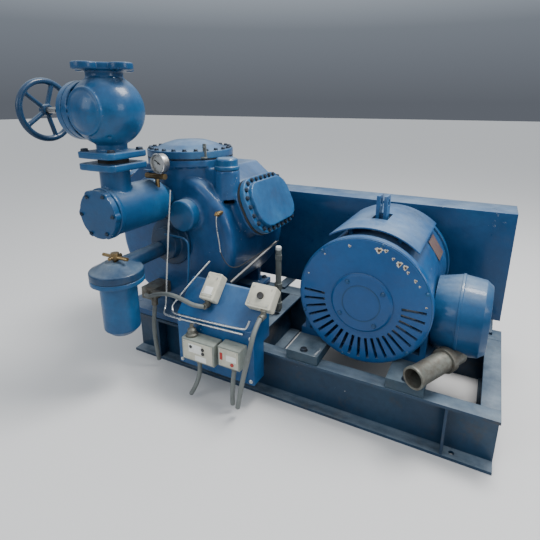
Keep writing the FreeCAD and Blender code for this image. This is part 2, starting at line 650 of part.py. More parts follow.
def crankcase():
    drum = doc.addObject("PartDesign::Body", "drum")
    sketch = outline(drum, "XZ_Plane", [("0", "0"), ("case_radius", "0"),
                                        ("case_radius", "case_length"), ("0", "case_length")])
    turned = drum.newObject("PartDesign::Revolution", "turning")
    turned.Profile = sketch
    turned.ReferenceAxis = (sketch, ["V_Axis"])
    turned.Angle = 360
    doc.recompute()
    rims = [f"Edge{index}" for index, edge in enumerate(turned.Shape.Edges, 1)
            if edge.BoundBox.ZLength < 0.1 and edge.BoundBox.XLength > value("case_radius")]
    edge = drum.newObject("PartDesign::Fillet", "edge")
    edge.Base = (turned, rims)
    bind(edge, "Radius", "case_edge")
    drum.Tip = edge
    place(drum, ("crank_x", "case_front", "crank_z"), TO_BACK)

    solid = [drum]
    foot_y = ("-skid_width / 2 + rail_inset", "skid_width / 2 - 150")
    for y in foot_y:
        solid.append(block(("2 * case_foot", "150 - rail_inset", "case_foot_height"),
                           ("crank_x", y, "beam_height"), "x"))
    for y in ("case_front + 45", "case_front + case_length - 75"):
        solid.append(block(("2 * case_foot - 60", "30", "120"), ("crank_x", y, "beam_height"), "x"))
    voids = [rod("case_radius - case_wall", "case_length - 2 * case_wall",
                 ("crank_x", "case_front + case_wall", "crank_z"), TO_BACK)]
    for name, middle, side in BANKS:
        neck = raised(rounded_block("neck_width", "neck_length", "neck_corner",
                                    "deck_height - neck_start"), "neck_start")
        deck = raised(rounded_block("head_width", "head_length", "head_corner", "deck_flange"),
                      "deck_height - deck_flange")
        solid += [bank_piece(neck, middle, side), bank_piece(deck, middle, side)]
        for shift in ("-cylinder_pitch / 2", "cylinder_pitch / 2"):
            bore = raised(rod("bore_radius + liner_wall", "deck_height"), "liner_start - 30")
            voids.append(bank_piece(bore, middle, side, shift))
        holes = head_pegs("stud_holes", "small_bolt + bolt_clearance", "deck_height - deck_flange - 2",
                          "deck_height + 4")
        voids.append(bank_piece(holes, middle, side))
        room = raised(rounded_block("head_width + 8", "head_length + 8", "head_corner + 4", "120"),
                      "deck_height")
        voids.append(bank_piece(room, middle, side))
    solid.append(extrude("XZ_Plane", [
        ("-shoulder_outer", "shoulder_low"), ("-shoulder_inner", "shoulder_top"),
        ("shoulder_inner", "shoulder_top"), ("shoulder_outer", "shoulder_low"),
        ("shoulder_inner", "120"), ("-shoulder_inner", "120")],
        "360", ("crank_x", "-140", "crank_z")))
    solid.append(rod("cover_neck", "cover_base - crank_z - 150", ("cover_x", "cover_y", "crank_z + 150")))
    solid.append(rod("cover_radius", "cover_flange", ("cover_x", "cover_y", "cover_base")))
    boss_reach = "side_cover_radius"
    solid.append(rod(boss_reach, "60", ("crank_x + side_cover_x", "case_front - 14",
                                        "crank_z + side_cover_z"), TO_BACK))
    solid.append(rod("filler_radius + 6", "filler_top - 48 - crank_z - 200",
                     ("filler_x", "filler_y", "crank_z + 200")))
    top = "cover_base + cover_flange"
    voids.append(rod("cover_bore", f"{top} - crank_z - 200", ("cover_x", "cover_y", "crank_z + 200")))
    voids.append(hole_circle("cover_bolt_circle", "cover_bolts", "cover_flange + 4",
                             ("cover_x", "cover_y", top), UP))
    voids.append(rod("front_cover_radius - 20", "case_length + 8",
                     ("crank_x", "case_front - 4", "crank_z"), TO_BACK))
    voids.append(rod("filler_radius - 12", "400", ("filler_x", "filler_y", "crank_z + 180")))
    voids += [rod("bolt_radius + bolt_clearance", "case_foot_height + 4", (x, y, "beam_height - 2"))
              for x, y in CASE_BOLTS]
    keep(cut(fuse(*solid), *voids), "crankcase")
    share("bolts", group(*[through_bolt("case_foot_height + beam_flange",
                                        (x, y, "beam_height + case_foot_height"))
                           for x, y in CASE_BOLTS]))


def case_covers():
    top = "cover_base + cover_flange"
    ring_at = ("cover_x", "cover_y", top)
    bolt_gap = "small_bolt + bolt_clearance"
    gasket = tube("cover_radius", "cover_bore", "gasket_wall", ring_at)
    share("gaskets", cut(gasket, hole_circle("cover_bolt_circle", "cover_bolts", "10", ring_at, UP)))
    lid_at = ("cover_x", "cover_y", f"{top} + gasket_wall")
    thick = "cover_flange - gasket_wall"
    flange = f"({thick})"
    lid = lathe([("0", "14"), ("cover_bore - 20", "0"), ("cover_radius", "0"), ("cover_radius", flange),
                 ("cover_bore + 14", flange), ("cover_bore - 20", f"{flange} + cover_dome * 0.5"),
                 ("cover_bore / 2", f"{flange} + cover_dome * 0.9"), ("0", f"{flange} + cover_dome")],
                lid_at)
    seat = ("cover_x", "cover_y", f"{top} + cover_flange")
    keep(cut(lid, hole_circle("cover_bolt_circle", "cover_bolts", "cover_flange + 4", seat, UP)),
         "top_cover")
    share("bolts", bolt_circle("cover_bolt_circle", "cover_bolts", "2 * cover_flange - 8", seat, UP))
    side_at = ("crank_x + side_cover_x", "case_front - 14", "crank_z + side_cover_z")
    side_lid = lathe([("0", "0"), ("side_cover_radius", "0"), ("side_cover_radius", "side_cover_depth - 6"),
                      ("side_cover_radius - 6", "side_cover_depth"), ("0", "side_cover_depth")],
                     side_at, TO_FRONT)
    keep(side_lid, "side_cover")
    cap_at = ("filler_x", "filler_y", "filler_top - 48")
    keep(lathe([("0", "0"), ("filler_radius + 6", "0"), ("filler_radius + 6", "14"),
                ("filler_radius", "16"), ("filler_radius", "40"), ("filler_radius - 8", "48"),
                ("0", "48")], cap_at), "filler_cap")
    inner = "journal_radius + running_gap"
    front_at = ("crank_x", "case_front", "crank_z")
    hub = "front_cover_radius - 20 - seat_gap"
    front = lathe([("main_bearing_radius", "-50"), (hub, "-50"), (hub, "0"),
                   ("front_cover_radius", "0"), ("front_cover_radius", "16"), ("70", "20"),
                   ("70", "pump_depth"), ("0", "pump_depth"), ("0", "4"), ("main_bearing_radius", "4")],
                  front_at, TO_FRONT)
    keep(front, "oil_pump_cover")
    rear_at = ("crank_x", "case_front + case_length", "crank_z")
    rear = lathe([("main_bearing_radius", "-50"), (hub, "-50"), (hub, "0"),
                  ("front_cover_radius", "0"), ("front_cover_radius", "18"), ("74", "22"),
                  ("74", "50"), ("journal_radius + 2", "50"), ("journal_radius + 2", "4"),
                  ("main_bearing_radius", "4")], rear_at, TO_BACK)
    keep(rear, "shaft_seal_housing")
    bearings = [tube("main_bearing_radius", inner, "44", ("crank_x", "case_front + 4", "crank_z"), TO_BACK),
                tube("main_bearing_radius", inner, "44",
                     ("crank_x", "case_front + case_length - 48", "crank_z"), TO_BACK)]
    share("bearings", group(*bearings))


def banks():
    """Liners, valve plates, heads and head bolts of both banks."""
    liners = []
    plates = []
    bolts = []
    plate_top = "deck_height + plate_thickness"
    flange_top = f"{plate_top} + head_flange"
    for name, middle, side in BANKS:
        for shift in ("-cylinder_pitch / 2", "cylinder_pitch / 2"):
            liner = raised(tube("bore_radius + liner_wall", "bore_radius", "deck_height - liner_start"),
                           "liner_start")
            liners.append(bank_piece(liner, middle, side, shift))
        holes = [head_pegs("stud_holes", "small_bolt + bolt_clearance", "deck_height - 2",
                           f"{flange_top} + head_dome + 4") for _ in range(2)]
        plate = raised(rounded_block("head_width", "head_length", "head_corner", "plate_thickness"),
                       "deck_height")
        plates.append(bank_piece(cut(plate, holes[0]), middle, side))
        flange = raised(rounded_block("head_width", "head_length", "head_corner", "head_flange"),
                        plate_top)
        dome = raised(rounded_block("head_width - 2 * head_margin", "head_length - 2 * head_margin",
                                    "head_corner - head_margin", "head_dome"), flange_top)
        hollow = raised(rounded_block("head_width - 2 * head_margin - 24",
                                      "head_length - 2 * head_margin - 24",
                                      "head_corner - head_margin - 12", "head_flange + head_dome - 12"),
                        f"{plate_top} - 0.01")
        keep(bank_piece(cut(fuse(flange, dome), hollow, holes[1]), middle, side), f"{name}_head")
        shanks = head_pegs("shanks", "small_bolt", "deck_height - deck_flange + 2", flange_top)
        caps = head_pegs("caps", "small_head", flange_top, f"{flange_top} + small_head_height")
        bolts.append(bank_piece(fuse(shanks, caps), middle, side))
    keep(group(*liners), "cylinder_liners")
    share("gaskets", group(*plates))
    share("bolts", group(*bolts))


# ---------------------------------------------------------------- crank train

THROWS = (("-40", 1), ("110", -1))


def crank_train():
    front = "case_front + 8"
    end = "pulley_start + pulley_width + 4"
    axis_turn = TO_BACK
    pieces = []
    low = "(-40) - pin_length / 2"
    high = "110 + pin_length / 2"
    pieces.append(rod("journal_radius", f"{low} - ({front})", ("crank_x", front, "crank_z"), axis_turn))
    pieces.append(rod("journal_radius", f"{end} - ({high})", ("crank_x", high, "crank_z"), axis_turn))
    for y, side in THROWS:
        lift = f"crank_z + {side} * crank_throw"
        pieces.append(rod("pin_radius", "pin_length + 4", ("crank_x", f"{y} - pin_length / 2 - 2", lift),
                          axis_turn))
    gap = "150 - pin_length"
    for y, length in ((f"{low} - web_thickness", "web_thickness"), ("(-40) + pin_length / 2", gap),
                      (high, "web_thickness")):
        pieces.append(rod("web_radius", length, ("crank_x", y, "crank_z"), axis_turn))
    share("crankshaft", fuse(*pieces))
    rings = []
    for y, side in THROWS:
        lift = f"crank_z + {side} * crank_throw"
        for shift in ("-22", "22"):
            rings.append(tube("big_end_radius", "pin_radius", "big_end_width",
                              ("crank_x", f"{y} + {shift} - big_end_width / 2", lift), axis_turn))
    share("crankshaft", group(*rings))
    for name, middle, side in BANKS:
        for place_name, shift in (("front", "-cylinder_pitch / 2"), ("rear", "cylinder_pitch / 2")):
            outer = "bore_radius - piston_gap"
            inner = "bore_radius - piston_gap - piston_wall"
            skirt = lathe([("0", "crown_height - 12"), (inner, "crown_height - 12"),
                           (inner, "-skirt_depth"), (outer, "-skirt_depth"), (outer, "crown_height"),
                           ("0", "crown_height")])
            pin = rod("wrist_radius", f"2 * ({inner}) + 2", (f"-({inner}) - 1", "0", "0"), TO_RIGHT)
            blade = block(("rod_width", "14", "rod_stub + 20"), ("0", "0", "-rod_stub"), "xy")
            piston = raised(fuse(skirt, pin, blade), "wrist_height")
            piston_turned = place(piston, ("crank_x", f"{middle} + {shift}", "crank_z"), bank_turn(side))
            keep(piston_turned, f"{name}_{place_name}_piston")


# ---------------------------------------------------------------- belt drive

PITCH_BIG = "(flywheel_radius - groove_depth + belt_gap + belt_height / 2)"
SMALL_RADIUS = f"({PITCH_BIG} / pulley_ratio + groove_depth - belt_gap - belt_height / 2)"


def pulley(radius, hub, bore):
    """A grooved pulley from local height zero, with a web and a hub."""
    rim = lathe([(bore, "0"), (radius, "0"), (radius, "pulley_width"), (bore, "pulley_width")])
    side = "(pulley_width - (belt_count - 1) * belt_pitch) / 2"
    grooves = [tube(f"{radius} + 4", f"{radius} - groove_depth", "groove_width",
                    ("0", "0", f"{side} + {index} * belt_pitch - groove_width / 2"))
               for index in range(int(value("belt_count")))]
    recess = [tube(f"{radius} - groove_depth - 14", hub, "(pulley_width - 30) / 2 + 1", ("0", "0", start))
              for start in ("-1", "(pulley_width + 30) / 2")]
    return cut(rim, *grooves, *recess)


def belt_loop(radius_big, radius_small, start, width):
    """The solid inside a belt's outline round both pulleys, with straight tangent runs."""
    big = Vector(value("crank_x"), start, value("crank_z"))
    small = Vector(value("motor_x"), start, value("motor_z"))
    across = small - big
    lean = math.acos((radius_big - radius_small) / across.Length)
    points = []
    for sign in (1, -1):
        for centre, radius in ((big, radius_big), (small, radius_small)):
            out = Rotation(Vector(0, 1, 0), math.degrees(sign * lean)).multVec(across).normalize()
            points.append(centre + out * radius)
    back = big - across.normalize() * radius_big
    front = small + across.normalize() * radius_small
    edges = [Part.LineSegment(points[0], points[1]).toShape(),
             Part.Arc(points[1], front, points[3]).toShape(),
             Part.LineSegment(points[3], points[2]).toShape(),
             Part.Arc(points[2], back, points[0]).toShape()]
    return Part.Face(Part.Wire(edges)).extrude(Vector(0, width, 0))


def belt_drive():
    keep(place(pulley("flywheel_radius", "58", "journal_radius"),
               ("crank_x", "pulley_start", "crank_z"), TO_BACK), "flywheel")
    keep(place(pulley(SMALL_RADIUS, "54", "shaft_radius"),
               ("motor_x", "pulley_start", "motor_z"), TO_BACK), "motor_sheave")
    inner_big = value("flywheel_radius - groove_depth + belt_gap")
    inner_small = value(f"{SMALL_RADIUS} - groove_depth + belt_gap")
    height = value("belt_height")
    width = value("belt_width")
    first = value("pulley_start + (pulley_width - (belt_count - 1) * belt_pitch) / 2") - width / 2
    loops = []
    for index in range(int(value("belt_count"))):
        start = first + index * value("belt_pitch")
        outside = belt_loop(inner_big + height, inner_small + height, start, width)
        loops.append(outside.cut(belt_loop(inner_big, inner_small, start, width)))
    belts = doc.addObject("Part::Feature", "v_belts")
    belts.Shape = Part.makeCompound(loops)
    belts.Placement = FreeCAD.Placement()
    keep(belts, "v_belts")


def guard():
    outside = block(("guard_length", "guard_depth", "guard_top - guard_bottom"),
                    ("guard_left", "guard_front", "guard_bottom"))
    inside = block(("guard_length - 2 * guard_wall", "guard_depth - 2 * guard_wall",
                    "guard_top - guard_bottom - guard_wall + 5"),
                   ("guard_left + guard_wall", "guard_front + guard_wall", "guard_bottom - 5"))
    holes = [rod("guard_hole", "guard_wall + 4", (x, "guard_front - 2", z), TO_BACK)
             for x, z in (("crank_x", "crank_z"), ("motor_x", "motor_z"))]
    keep(cut(outside, inside, *holes), "belt_guard")
    arms = []
    for x in ("-skid_length / 2 + 500", "0", "skid_length / 2 - 60"):
        arms.append(block(("50", "guard_front + guard_depth - skid_width / 2 + 50",
                           "guard_bottom - beam_height"),
                          (x, "skid_width / 2 - 50", "beam_height"), "x"))
    share("cross_members", group(*arms))


# ---------------------------------------------------------------- suction strainer and stop valve

def flange_plate(top):
    """A square four-bolt flange with its sides along X and Y."""
    return rounded_block("flange_side", "flange_side", "flange_corner", "flange_thickness",
                         ("strainer_x", "tee_y", f"{top} - flange_thickness"))


def flange_holes():
    return circle_of([("0", "-100"), ("bolt_radius + bolt_clearance", "-100"),
                      ("bolt_radius + bolt_clearance", "100"), ("0", "100")],
                     "flange_bolt_circle", "4", ("strainer_x", "tee_y", "tee_flange_top"), TO_CORNERS)


def strainer():
    axis = ("strainer_x", "strainer_front", "strainer_z")
    barrel = rod("strainer_radius", "strainer_back - strainer_front", axis, TO_BACK)
    rim = rod("strainer_radius + 5", "16", axis, TO_BACK)
    neck = rod("strainer_neck", "case_front - strainer_back + 20", ("strainer_x", "strainer_back - 20",
                                                                     "strainer_z"), TO_BACK)
    outlet = rod("strainer_neck - strainer_wall", "case_front - strainer_back + 40",
                 ("strainer_x", "strainer_back - 36", "strainer_z"), TO_BACK)
    branch = rod("tee_radius", "tee_flange_top - strainer_z", ("strainer_x", "tee_y", "strainer_z"))
    hollow = rod("strainer_radius - strainer_wall", "strainer_back - strainer_front - 16",
                 ("strainer_x", "strainer_front - 4", "strainer_z"), TO_BACK)
    bore = rod("pipe_bore", "tee_flange_top - strainer_z + 4", ("strainer_x", "tee_y", "strainer_z"))
    body = cut(fuse(barrel, rim, neck, branch, flange_plate("tee_flange_top")), hollow, outlet, bore,
               flange_holes(), KEPT["crankcase"])
    keep(body, "strainer_body")
    ears = circle_of([("0", "0"), ("18", "0"), ("18", "strainer_lid"), ("0", "strainer_lid")],
                     "strainer_radius - 12", "6", axis, TO_FRONT)
    lid = fuse(rod("strainer_radius", "strainer_lid", axis, TO_FRONT), ears)
    share("strainer_cover", lid)
    seat = ("strainer_x", "strainer_front - strainer_lid", "strainer_z")
    share("bolts", bolt_circle("strainer_radius - 12", "6", "0.01", seat, TO_FRONT))
    basket_length = "strainer_back - strainer_front - 24"
    share("strainer_cover", tube("basket_radius", "basket_radius - 3", basket_length, axis, TO_BACK))


def valve():
    base = "tee_flange_top + flange_gap"
    centre = ("strainer_x", "tee_y", "valve_z")
    gasket = tube("tee_radius", "pipe_bore", "flange_gap", ("strainer_x", "tee_y", "tee_flange_top"))
    share("gaskets", gasket)
    low = rod("tee_radius", f"valve_z - ({base})", ("strainer_x", "tee_y", base))
    high = rod("valve_neck", "valve_top - valve_z", centre)
    side = rod("bonnet_neck", "bonnet_reach", centre, TO_LEFT)
    lip = rod("bonnet_radius", "bonnet_flange", ("strainer_x - bonnet_reach + bonnet_flange", "tee_y",
                                                "valve_z"), TO_LEFT)
    boss = rod("80", "valve_radius - 20", centre, TO_FRONT)
    top = "valve_top - flange_thickness"
    crown = rod("top_flange_radius", "flange_thickness", ("strainer_x", "tee_y", top))
    ears = circle_of([("0", "0"), ("ear_radius", "0"), ("ear_radius", "flange_thickness"),
                      ("0", "flange_thickness")], "ear_circle", "4", ("strainer_x", "tee_y", top), UP)
    outer = fuse(ball("valve_radius", centre), low, high, side, lip, boss, crown, ears,
                 flange_plate(f"{base} + flange_thickness"))
    through = rod("pipe_bore", f"valve_top - ({base}) + 8", ("strainer_x", "tee_y", f"{base} - 4"))
    socket = rod("socket_radius", "socket_depth + 4", ("strainer_x", "tee_y", "valve_top - socket_depth"))
    chamber = rod("pipe_bore + 6", "bonnet_reach + 4", centre, TO_LEFT)
    ear_holes = circle_of([("0", "-40"), ("ear_hole", "-40"), ("ear_hole", "10"), ("0", "10")],
                          "ear_circle", "4", ("strainer_x", "tee_y", "valve_top"), UP)
    studs = circle_of([("0", "-60"), ("small_bolt + bolt_clearance", "-60"),
                       ("small_bolt + bolt_clearance", "10"), ("0", "10")], "bonnet_radius - 12", "8",
                      ("strainer_x - bonnet_reach", "tee_y", "valve_z"), TO_LEFT)
    joint_room = rod("bonnet_radius + 20", "30", ("strainer_x - bonnet_reach", "tee_y", "valve_z"), TO_LEFT)
    keep(cut(outer, through, socket, chamber, joint_room, flange_holes(), ear_holes, studs), "valve_body")
    bolts = circle_of(bolt_outline("bolt_radius", "2 * flange_thickness + flange_gap",
                                   "bolt_head_radius", "bolt_head_height"), "flange_bolt_circle", "4",
                      ("strainer_x", "tee_y", f"{base} + flange_thickness"), TO_CORNERS)
    share("bolts", bolts)
    joint = ("strainer_x - bonnet_reach", "tee_y", "valve_z")
    stem_hole = "stem_radius + running_gap"
    shell = lathe([(stem_hole, "30"), ("pipe_bore", "0"), ("bonnet_radius", "0"),
                   ("bonnet_radius", "bonnet_flange"), ("bonnet_radius - 24", "bonnet_flange"),
                   ("70", "bonnet_flange + 4"),
                   ("40", "bonnet_depth"), ("30", "bonnet_depth + 24"),
                   (stem_hole, "bonnet_depth + 24")], joint, TO_LEFT)
    seat = ("strainer_x - bonnet_reach - bonnet_flange", "tee_y", "valve_z")
    stud_holes = hole_circle("bonnet_radius - 12", "8", "bonnet_flange + 4", seat, TO_LEFT)
    keep(cut(shell, stud_holes), "valve_bonnet")
    share("bolts", bolt_circle("bonnet_radius - 12", "8", "bonnet_flange + 20", seat, TO_LEFT))
    gland_at = ("strainer_x - bonnet_reach - bonnet_depth - 24", "tee_y", "valve_z")
    share("brass_fittings", tube("gland_radius", stem_hole, "34", gland_at, TO_LEFT))
    disc = rod("disc_radius", "18", ("strainer_x - 46", "tee_y", "valve_z"), TO_LEFT)
    stem = rod("stem_radius", "stem_end - 60", ("strainer_x - 60", "tee_y", "valve_z"), TO_LEFT)
    keep(fuse(disc, stem), "valve_stem")
    hub_at = ("strainer_x - wheel_reach", "tee_y", "valve_z")
    wheel = [ring("wheel_radius - wheel_rim", "wheel_rim", hub_at, TO_LEFT),
             tube("22", stem_hole, "30", ("strainer_x - wheel_reach + 15", "tee_y", "valve_z"), TO_LEFT)]
    spokes = [place(rod("9", "wheel_radius - wheel_rim - 16"), hub_at,
                    Rotation(Vector(1, 0, 0), 72 * index - 21)) for index in range(5)]
    reach = Vector(0, 0, value("18"))
    for index, spoke in enumerate(spokes):
        turned = Rotation(Vector(1, 0, 0), 72 * index - 21).multVec(reach)
        bind(spoke, "Placement.Base.y", f"tee_y + ({turned.y})")
        bind(spoke, "Placement.Base.z", f"valve_z + ({turned.z})")
    keep(fuse(*wheel, *spokes), "handwheel")


# ---------------------------------------------------------------- oil filter

def oil_filter():
    height = "filter_joint - filter_bottom"
    inner = "filter_radius - filter_wall"
    base = ("filter_x", "filter_y", "filter_bottom")
    bowl = lathe([("0", "0"), ("filter_radius - 24", "0"), ("filter_radius", "24"),
                  ("filter_radius", f"{height} - 20"), ("filter_flange", f"{height} - 20"),
                  ("filter_flange", height), (inner, height), (inner, "26"),
                  ("filter_radius - 30", "filter_wall"), ("0", "filter_wall")], base)
    keep(bowl, "filter_bowl")
    joint = ("filter_x", "filter_y", "filter_joint")
    rise = "filter_top - filter_joint"
    spindle_gap = "spindle_radius + running_gap"
    head = lathe([(spindle_gap, "14"), (inner, "0"), ("filter_flange", "0"), ("filter_flange", "30"),
                  ("filter_flange - 16", "36"), ("60", "52"), ("44", rise), (spindle_gap, rise)], joint)
    arm = rod("filter_arm", "case_front - pump_depth - filter_y", ("filter_x", "filter_y", "filter_joint + 36"),
              TO_BACK)
    inside = lathe([("0", "14"), (inner, "0"), (inner, "-30"), ("0", "-30")], joint)
    spindle = rod(spindle_gap, "140", joint)
    keep(cut(fuse(head, arm), inside, spindle), "filter_head")
    handle_at = ("filter_x", "filter_y", "filter_top + 9")
    shaft = rod("spindle_radius", "filter_top - filter_bottom - 40", ("filter_x", "filter_y",
                                                                     "filter_bottom + 60"))
    hub = rod("16", "26", handle_at)
    bar = rod("7", "128", ("filter_x - 64", "filter_y", "filter_top + 18"), TO_RIGHT)
    cross = rod("7", "60", ("filter_x", "filter_y + 30", "filter_top + 18"), TO_FRONT)
    discs = [rod("filter_radius - 19", "6", ("filter_x", "filter_y", f"filter_bottom + 70 + {12 * index}"))
             for index in range(10)]
    keep(fuse(shaft, hub, bar, cross, *discs), "filter_spindle")


# ---------------------------------------------------------------- gauge and needle valves

GAUGE_TURN = Rotation(Vector(0, 0, 1), -6) * TO_FRONT


def gauge():
    at = ("gauge_x", "gauge_y", "gauge_z")
    bar_z = "gauge_z - gauge_radius - 14"
    case = lathe([("0", "-gauge_depth / 2"), ("gauge_radius - 3", "-gauge_depth / 2"),
                  ("gauge_radius", "-gauge_depth / 2 + 3"), ("gauge_radius", "gauge_depth / 2"),
                  ("gauge_radius - 4", "gauge_depth / 2"), ("gauge_radius - 4", "gauge_depth / 2 - 9"),
                  ("0", "gauge_depth / 2 - 9")], at, GAUGE_TURN)
    stem = rod("7", "20", ("gauge_x", "gauge_y", f"{bar_z} - 2"))
    pivot = place(rod("2.5", "8"), at, GAUGE_TURN)
    keep(cut(fuse(case, stem), pivot), "pressure_gauge")
    bar = rod("12", "96", ("gauge_x - 76", "gauge_y", bar_z), TO_RIGHT)
    foot = rod("9", "66", ("gauge_x - 22", "gauge_y", f"{bar_z} - 66"))
    seat = rod("7", "30", ("gauge_x", "gauge_y", f"{bar_z} - 2"))
    body = rod("strainer_radius", "80", ("strainer_x", "gauge_y - 40", "strainer_z"), TO_BACK)
    bore = rod("4 + running_gap", "30", ("gauge_x - 58", "gauge_y", f"{bar_z} - 6"))
    share("brass_fittings", cut(fuse(bar, foot), seat, body, bore))
    grip = [rod("4", "26", ("gauge_x - 58", "gauge_y", f"{bar_z} - 4")),
            rod("9", "8", ("gauge_x - 58", "gauge_y", f"{bar_z} + 14")),
            block(("60", "12", "6"), ("gauge_x - 58", "gauge_y", f"{bar_z} + 19"), "xyz")]
    keep(fuse(*grip), "needle_valve_handle")
    needle = extrude("XY_Plane", [("-2", "-9"), ("2", "-9"), ("1", "gauge_radius - 12"),
                                  ("-1", "gauge_radius - 12")], "1.5")
    hub = rod("3.5", "1.5")
    shank = rod("2.45", "6.5", ("0", "0", "-6"))
    keep(place(fuse(raised(needle, "8.2"), raised(hub, "8.2"), raised(shank, "7.9")), at,
               GAUGE_TURN * Rotation(Vector(0, 0, 1), 60)),
         "gauge_needle")


# ---------------------------------------------------------------- console and switch boxes

def console():
    rise = "console_fold - console_bottom"
    points = [("0", "0"), ("0", rise), ("console_run", f"{rise} + console_rise"),
              ("console_run + 14", f"{rise} + console_rise"), ("console_run + 14", "155"),
              ("console_back - console_front", "155"), ("console_back - console_front", "0")]
    wall = "console_wall"
    inside = [(wall, wall), (wall, f"{rise} - 2"), ("console_run + 2", f"{rise} + console_rise - 6"),
              ("console_run + 18", f"{rise} + console_rise - 6"), ("console_run + 18", "151"),
              ("console_back - console_front + 4", "151"), ("console_back - console_front + 4", wall)]
    at = ("console_left", "console_front", "console_bottom")
    inner_at = ("console_left + console_wall", "console_front", "console_bottom")
    keep(cut(extrude("YZ_Plane", points, "console_width", at),
             extrude("YZ_Plane", inside, "console_width - 2 * console_wall", inner_at)), "console")


def slope_turn():
    return Rotation(Vector(1, 0, 0), value("slope_angle"))


def on_slope(x, up, out):
    """A point on the console's slope: up it from the fold, and out from its face."""
    turned = slope_turn().multVec(Vector(0, up, out))
    return (x, f"console_front + ({turned.y})", f"console_fold + ({turned.z})")


def switch_on_slope(x, up, width, height, depth):
    item = rounded_block(str(width), str(height), "6", str(depth))
    return place(item, on_slope(x, up + height / 2, 0.6), slope_turn())


def switches():
    tall = switch_on_slope("-283", 72, 66, 112, 50)
    keep(tall, "oil_pressure_switch")
    square = switch_on_slope("-60", 88, 104, 92, 48)
    socket = place(rod("4 + running_gap", "20"), on_slope("-60", 134, 40), slope_turn())
    keep(cut(square, socket), "cutout_switch")
    knob = fuse(place(rod("13", "9"), on_slope("-60", 134, 49.6), slope_turn()),
                place(rod("4", "18"), on_slope("-60", 134, 41), slope_turn()))
    keep(knob, "switch_knob")
    front = "console_front"
    wide = block(("152", "59", "94"), ("-352", f"{front} - 60", "167"))
    keep(wide, "dual_pressure_switch")
    share("conduit_fittings", lathe([("0", "0"), ("24", "0"), ("24", "8"), ("17", "12"), ("17", "26"), ("8", "34"),
                ("8", "48"), ("0", "48")], ("-322", f"{front} - 30", "261")))
    small = block(("96", "55", "84"), ("-184", f"{front} - 56", "184"))
    well = rod("7 + running_gap", "30", ("-120", f"{front} - 60", "205"), TO_BACK)
    keep(cut(small, well), "time_delay_switch")
    keep(rod("7", "18", ("-120", f"{front} - 62", "205"), TO_BACK), "reset_button")


# ---------------------------------------------------------------- rigid tubes and flexible conduits

TUBES = (
    [(-479, -300, 806), (-500, -318, 560), (-508, -340, 330), (-470, -388, 300), (-300, -390, 306),
     (-100, -390, 314)],
    [(-330, -262, 520), (-398, -330, 420), (-448, -372, 345), (-420, -394, 322), (-200, -394, 330),
     (-84, -394, 340), (-76, -380, 372)],
    [(-560, -262, 600), (-480, -262, 600), (-430, -262, 560), (-430, -300, 330)],
    [(-130, -60, 574), (-240, -250, 440)],
)
CONDUITS = {
    "conduit_a": [(-640, -322, 326), (-600, -350, 336), (-545, -366, 366), (-485, -376, 388),
                  (-425, -384, 397), (-365, -390, 390), (-320, -389, 378), (-287, -372, 374)],
    "conduit_b": [(-584, -330, 296), (-586, -342, 235), (-580, -352, 170), (-574, -352, 100),
                  (-572, -346, 34)],
    "conduit_c": [(-290, -412, 148), (-286, -418, 118), (-286, -432, 84), (-296, -444, 50),
                  (-312, -450, 20)],
    "conduit_d": [(-30, -384, 392), (-26, -428, 376), (-26, -456, 330), (-38, -464, 262),
                  (-56, -464, 190), (-72, -462, 118), (-88, -456, 44)],
    "conduit_e": [(-128, -410, 166), (-126, -424, 140), (-118, -440, 108), (-120, -442, 70),
                  (-122, -438, 34)],
}


def tubes_and_conduits():
    lines = []
    for points in TUBES:
        path = cord_path(points)[0]
        section = Part.Wire([Part.makeCircle(value("tube_radius"), Vector(*points[0]),
                                             Vector(*points[1]) - Vector(*points[0]))])
        lines.append(path.makePipeShell([section], True, False))
    pipes = doc.addObject("Part::Feature", "sensing_tubes")
    pipes.Shape = Part.makeCompound(lines)
    pipes.Placement = FreeCAD.Placement()
    share("pipework", pipes)
    for name, points in CONDUITS.items():
        cord(name, points, "conduit_radius")
    fittings = [
        block(("70", "112", "52"), ("-675", "-312", "300")),
        rod("14", "30", ("-640", "-322", "326"), TO_BACK),
        rod("14", "40", ("-584", "-330", "296")),
        block(("40", "30", "20"), ("-604", "-330", "330")),
    ]
    join(fuse(*fittings), "conduit_a", "conduit_b", "crankcase")
    join(rod("12", "18", ("-290", "-412", "148")), "conduit_c", "dual_pressure_switch")
    join(rod("12", "20", ("-128", "-410", "166")), "conduit_e", "time_delay_switch")
    for x, y, z in ((-30, -384, 392), (-287, -372, 374)):
        elbow = fuse(rod("12", "30", (f"{x}", f"{y}", f"{z}"), TO_BACK),
                     rod("11", "24", (f"{x}", f"{y + 26}", f"{z}")))
        join(elbow, "conduit_a", "conduit_d", "console", "cutout_switch", "oil_pressure_switch")
    pipe = fuse(rod("13", "300", ("-150", "0", "216")), rod("20", "26", ("-150", "0", "330")),
                rod("17", "22", ("-150", "0", "470")), rod("19", "30", ("-150", "0", "232")),
                rod("11", "60", ("-210", "0", "247"), TO_RIGHT))
    share("pipework", pipe)
    share("brass_fittings", cut(rod("10", "60", ("-322", "-150", "705"), TO_FRONT), KEPT["crankcase"]))


def join(fitting, *neighbours):
    """A conduit fitting, cut back to the faces of what it meets."""
    share("conduit_fittings", cut(fitting, *[KEPT[name] for name in neighbours]))


# ---------------------------------------------------------------- build and write

skid()
rails()
motor()
terminal_box()
crankcase()
case_covers()
banks()
crank_train()
belt_drive()
guard()
strainer()
valve()
oil_filter()
gauge()
console()
switches()
tubes_and_conduits()
for label, pieces in SHARED.items():
    keep(group(*pieces), label)
doc.recompute()

failed = [f"{item.Label} {item.State}" for item in doc.Objects
          if "Invalid" in item.State or "Error" in item.State]
if failed:
    raise RuntimeError("could not be built: " + ", ".join(failed))

